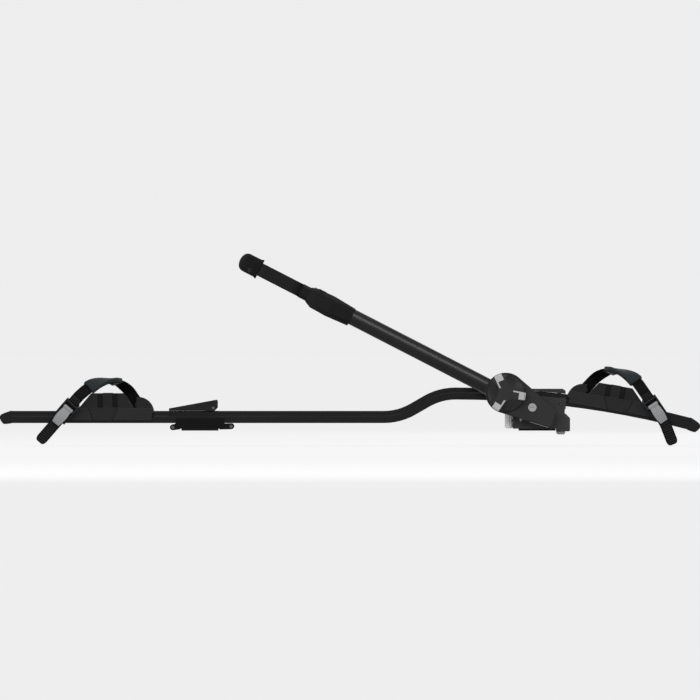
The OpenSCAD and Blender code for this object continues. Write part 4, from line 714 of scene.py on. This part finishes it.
# %% Strap keepers
KEEPER_FROM, KEEPER_TO = 3.78, 4.4
KEEPER_WALL, KEEPER_CROWN = 2.2, 4.0
keeper_finish = moulded("keeper_plastic", 40, 0.45, edge=0.0008)
for name, (put, slope, _) in TRAYS.items():
    rings = put(sleeve_rings(slope, KEEPER_FROM, KEEPER_TO, KEEPER_WALL, KEEPER_CROWN, 0))
    make_piece(f"{name}_strap_keeper", rings, True, keeper_finish, nodes[f"{name}_strap"]["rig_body"],
               [], sharp=50)

# %% [markdown]
# The jaw tips wear rubber boots. CAD gives them square edges, so each is drawn again
# as a bent oval that follows the jaw's end, full at its mouth and round at its tip.
# Like a sock it has an inner skin, because the jaw's core is inside it.

# %% Jaw boots
ARM_SLOPE = math.radians(27.2)
PIVOT = np.array([16.6, 30.1])
RING_U, RING_Y, RING_R = 652.0, 2.0, 52.5
BOOT_U = 666.2
BOOT_HALF_W = 20.0
TIP_R = 16.0
TIP_U = RING_U + 60.0
BOOT_HALF_T, CORE_HALF_T = 7.4, 3.9
BOOT_END, CORE_END = math.radians(2.8), math.radians(4.0)
MOUTH_SWELL, MOUTH_LEN = 0.09, 0.05


def from_arm(u, y, w):
    """Arm measures to the carrier's: turn by the arm's slope and move to the pivot."""
    c, s = math.cos(ARM_SLOPE), math.sin(ARM_SLOPE)
    return np.stack([PIVOT[0] - u * c + w * s, -y, PIVOT[1] + u * s + w * c], -1)


def boot_skin(way, share, tip_angle, thick, half_w, power, shaped):
    """An oval section carried round the ring: share 0 at the mouth, 1 at the tip."""
    angle = np.linspace(0, 2 * math.pi, 72, endpoint=False)
    c, s = oval(angle, 1.0, 1.0, power)
    swell = 1 + shaped * MOUTH_SWELL * np.exp(-(share / MOUTH_LEN) ** 2)
    r = RING_R + thick * s[None, :] * swell[:, None]
    mouth = np.arccos((BOOT_U - RING_U) / r)
    turn = mouth + (tip_angle - mouth) * share[:, None]
    u = RING_U + r * np.cos(turn)
    past = np.clip(u - (TIP_U - TIP_R), 0, TIP_R)
    full = BOOT_HALF_W - TIP_R + np.sqrt(TIP_R**2 - past**2)
    narrowed = full / BOOT_HALF_W * half_w if shaped else half_w
    wide = c[None, :] * narrowed * swell[:, None]
    return from_arm(u, RING_Y + way * r * np.sin(turn), np.broadcast_to(wide, u.shape))


def boot_rings(way, core_w):
    """The inner skin from the tip to the mouth, then the outer one back to the tip."""
    outer = boot_skin(way, np.linspace(0, 1, 60), BOOT_END, BOOT_HALF_T, BOOT_HALF_W - 0.4, 3.2, 1)
    inner = boot_skin(way, np.linspace(1, 0, 40), CORE_END, CORE_HALF_T, core_w + 0.6, 9, 0)
    return np.concatenate([inner, outer])


boot_finish = rubber("boot_rubber", 12)
for name, way, core_w in (("fixed", 1, 12.0), ("moving", -1, 11.0)):
    node = f"{name}_jaw_boot"
    make_piece(f"{name}_jaw_sock", boot_rings(way, core_w), False, boot_finish, nodes[node]["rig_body"],
               [node], sharp=50)

# %% [markdown]
# Small turned things come last: the screws in the rear saddle's sides and the stud
# on the near boot. Each is a profile spun about an axis; a socket is the same spin
# with a six-sided radius mixed in where the key goes.


# %% Screws and stud
def turned(profile, centre, axis, sides=72):
    """Rows of (radius, height, how hexagonal) spun about an axis through the centre."""
    radius, height, hexed = np.array(profile).T
    angle = np.linspace(0, 2 * math.pi, sides, endpoint=False)
    six = math.cos(math.pi / 6) / np.cos(np.mod(angle, math.pi / 3) - math.pi / 6)
    r = radius[:, None] * (1 + hexed[:, None] * (six[None, :] - 1))
    axis = unit(np.array(axis, float))
    first = unit(np.cross(axis, [0.3, 0.9, 0.4]))
    second = np.cross(axis, first)
    ring = np.cos(angle)[None, :, None] * first + np.sin(angle)[None, :, None] * second
    return np.array(centre) + r[..., None] * ring + height[:, None, None] * axis


SCREW = [
    (4.6, -1.9, 0), (4.75, -1.6, 0), (4.75, 0.2, 0), (4.5, 0.7, 0), (3.9, 1.0, 0),
    (2.9, 1.1, 0), (2.6, 0.9, 1), (2.5, -1.2, 1), (0.3, -1.4, 0),
]
SADDLE_X, SADDLE_Y, SADDLE_UP = 49.0, 31.9, 5.0
saddle_z = CREST_Z - REAR_R * (1 - math.cos(math.asin((SADDLE_X - CREST_X) / REAR_R))) + SADDLE_UP
screw_finish = moulded("screw_coat", 34, 0.4, shine=0.3)
for name, way in (("near", -1), ("far", 1)):
    rings = turned(SCREW, (SADDLE_X, way * SADDLE_Y, saddle_z), (0, way, 0))
    make_piece(f"{name}_saddle_screw", rings, False, screw_finish, nodes["rear_foot_body"]["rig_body"],
               [])

STUD = [
    (4.4, -1.5, 0), (4.6, 0.2, 0), (4.1, 0.9, 0), (2.8, 1.0, 0),
    (2.2, 0.5, 0), (2.0, -0.4, 0), (0.3, -0.5, 0),
]
STUD_TURN, STUD_R, STUD_W = math.radians(58), 59.6, -11.0


def on_ring(r):
    """The place on the near jaw's ring, r from its centre, where the stud's axis runs."""
    return from_arm(RING_U + r * math.cos(STUD_TURN), RING_Y + r * math.sin(STUD_TURN), STUD_W)


stud_rings = turned(STUD, on_ring(STUD_R), on_ring(STUD_R + 1) - on_ring(STUD_R))
make_piece("boot_stud", stud_rings, False, keeper_finish, nodes["fixed_jaw_boot"]["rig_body"], [])

# %% [markdown]
# A painted highlight runs under the cover's lower edge, where the edge catches the
# light. It is a thin light grey rounded bar laid on the housing along the line that
# touches the two circles of its outline.

# %% Cover edge highlight
KNOB_AT, KNOB_ROUND = np.array([95.5, 5.0]), 41.0
HEEL_AT, HEEL_ROUND = np.array([-13.0, -10.0]), 7.0
HIGHLIGHT_Y = 68.4
HIGHLIGHT_HALF_W, HIGHLIGHT_HALF_T, HIGHLIGHT_OUT = 2.6, 1.5, 0.7
HIGHLIGHT_FROM, HIGHLIGHT_SHARE = -0.02, 0.4


def highlight_rings():
    """Ovals along the common tangent, drawn in to nothing at both ends."""
    span = KNOB_AT - HEEL_AT
    lean = math.atan2(span[1], span[0]) - math.acos((HEEL_ROUND - KNOB_ROUND) / np.linalg.norm(span))
    down = np.array([math.cos(lean), math.sin(lean)])
    start, end = HEEL_AT + HEEL_ROUND * down, KNOB_AT + KNOB_ROUND * down
    t = np.linspace(0, 1, 41)
    line = start + (end - start) * (HIGHLIGHT_FROM + HIGHLIGHT_SHARE * t)[:, None] + HIGHLIGHT_OUT * down
    angle = np.linspace(0, 2 * math.pi, 32, endpoint=False)
    c, s = oval(angle, HIGHLIGHT_HALF_W, HIGHLIGHT_HALF_T, 3)
    fade = np.sqrt(np.clip(1 - np.abs(2 * t - 1) ** 14, 0.01, 1))[:, None]
    u = line[:, :1] + down[0] * s * fade
    w = line[:, 1:] + down[1] * s * fade
    return from_arm(u, HIGHLIGHT_Y + c * fade, w)


# Painted highlight: the bar's light grey stands in for light caught along the cover's lower edge.
highlight_finish = moulded("painted_highlight_plastic", 150, 0.42, wear=12)
make_piece("cover_edge_highlight", highlight_rings(), False, highlight_finish, nodes["arm_housing"]["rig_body"],
           [])

# %% [markdown]
# The stage is a pale floor under a pale sky. A white room lit brightly would wash
# the blacks out, so the lamps stay at a plain level and only what the camera, a
# mirror or a glass sees of the sky is nearly white.

# %% Floor and light
FLOOR_HALF = 400.0
floor_z = cad_low.z - 0.0005
corner = np.array([[-1, -1], [1, -1], [1, 1], [-1, 1]]) * FLOOR_HALF
floor_mesh = bpy.data.meshes.new("floor")
floor_mesh.from_pydata([(x, y, floor_z) for x, y in corner], [], [(0, 1, 2, 3)])
floor = bpy.data.objects.new("floor", floor_mesh)
scene.collection.objects.link(floor)
SKY_SEEN = 0.85
SKY_LIGHT = 0.5
FLOOR_SEEN = 0.93
FLOOR_GLOW = 0.85


def seen_by_eye(tree):
    """1 for rays that a camera, a mirror or a glass sends out, 0 for light on things."""
    ray = tree.tree.nodes.new("ShaderNodeLightPath").outputs
    kinds = [Wire(tree, ray[f"Is {kind} Ray"]) for kind in ("Camera", "Glossy", "Transmission")]
    return (kinds[0] + kinds[1] + kinds[2]).clipped()


paper = Finish("floor_paper", {"Specular IOR Level": 0.1, "Roughness": 0.9})
paper.set({"Base Color": paper.blend(paper.noise(0.4, 2.0), (0.8, 0.8, 0.8), (0.83, 0.83, 0.83))})
glow = paper.node("Emission", {}, {"Color": (FLOOR_SEEN, FLOOR_SEEN, FLOOR_SEEN, 1), "Strength": 1.0})
surface = Wire(paper, paper.shader.outputs[0])
mixed = paper.node("MixShader", {}, {0: seen_by_eye(paper) * FLOOR_GLOW, 1: surface, 2: glow})
paper.feed(paper.tree.nodes["Material Output"].inputs["Surface"], mixed)
floor_mesh.materials.append(paper.material)

world = bpy.data.worlds.new("pale_room")
world.use_nodes = True
scene.world = world
room = Tree(world.node_tree)
background = room.tree.nodes["Background"]
room.feed(background.inputs["Color"], (1.0, 1.0, 1.0, 1))
room.feed(background.inputs["Strength"], seen_by_eye(room) * (SKY_SEEN - SKY_LIGHT) + SKY_LIGHT)


def softbox(name, place, aim, size, watts):
    """A square lamp that looks at a point."""
    data = bpy.data.lights.new(name, "AREA")
    data.size = size
    data.energy = watts
    lamp = bpy.data.objects.new(name, data)
    lamp.location = place
    way = np.array(aim) - np.array(place)
    tip = math.acos(-way[2] / np.linalg.norm(way))
    lamp.rotation_euler = (tip, 0, math.atan2(way[1], way[0]) - math.pi / 2)
    scene.collection.objects.link(lamp)
    return lamp


MIDDLE = (VIEW_CENTRE[0], 0.0, 0.12)
softbox("top_box", (-0.5, -0.6, 2.4), MIDDLE, 2.2, 34)
softbox("front_box", (-2.0, -4.6, 2.2), MIDDLE, 2.6, 24)
softbox("back_box", (0.9, 2.6, 1.6), MIDDLE, 1.8, 24)
strip = softbox("long_strip", (-0.4, -5.2, 1.4), MIDDLE, 4.4, 80)
strip.data.shape = "RECTANGLE"
strip.data.size_y = 0.6
print("floor at", round(floor_z, 4))

# %% Sizes and end
print("cad box", [round(v, 4) for v in (*cad_low, *cad_high)])
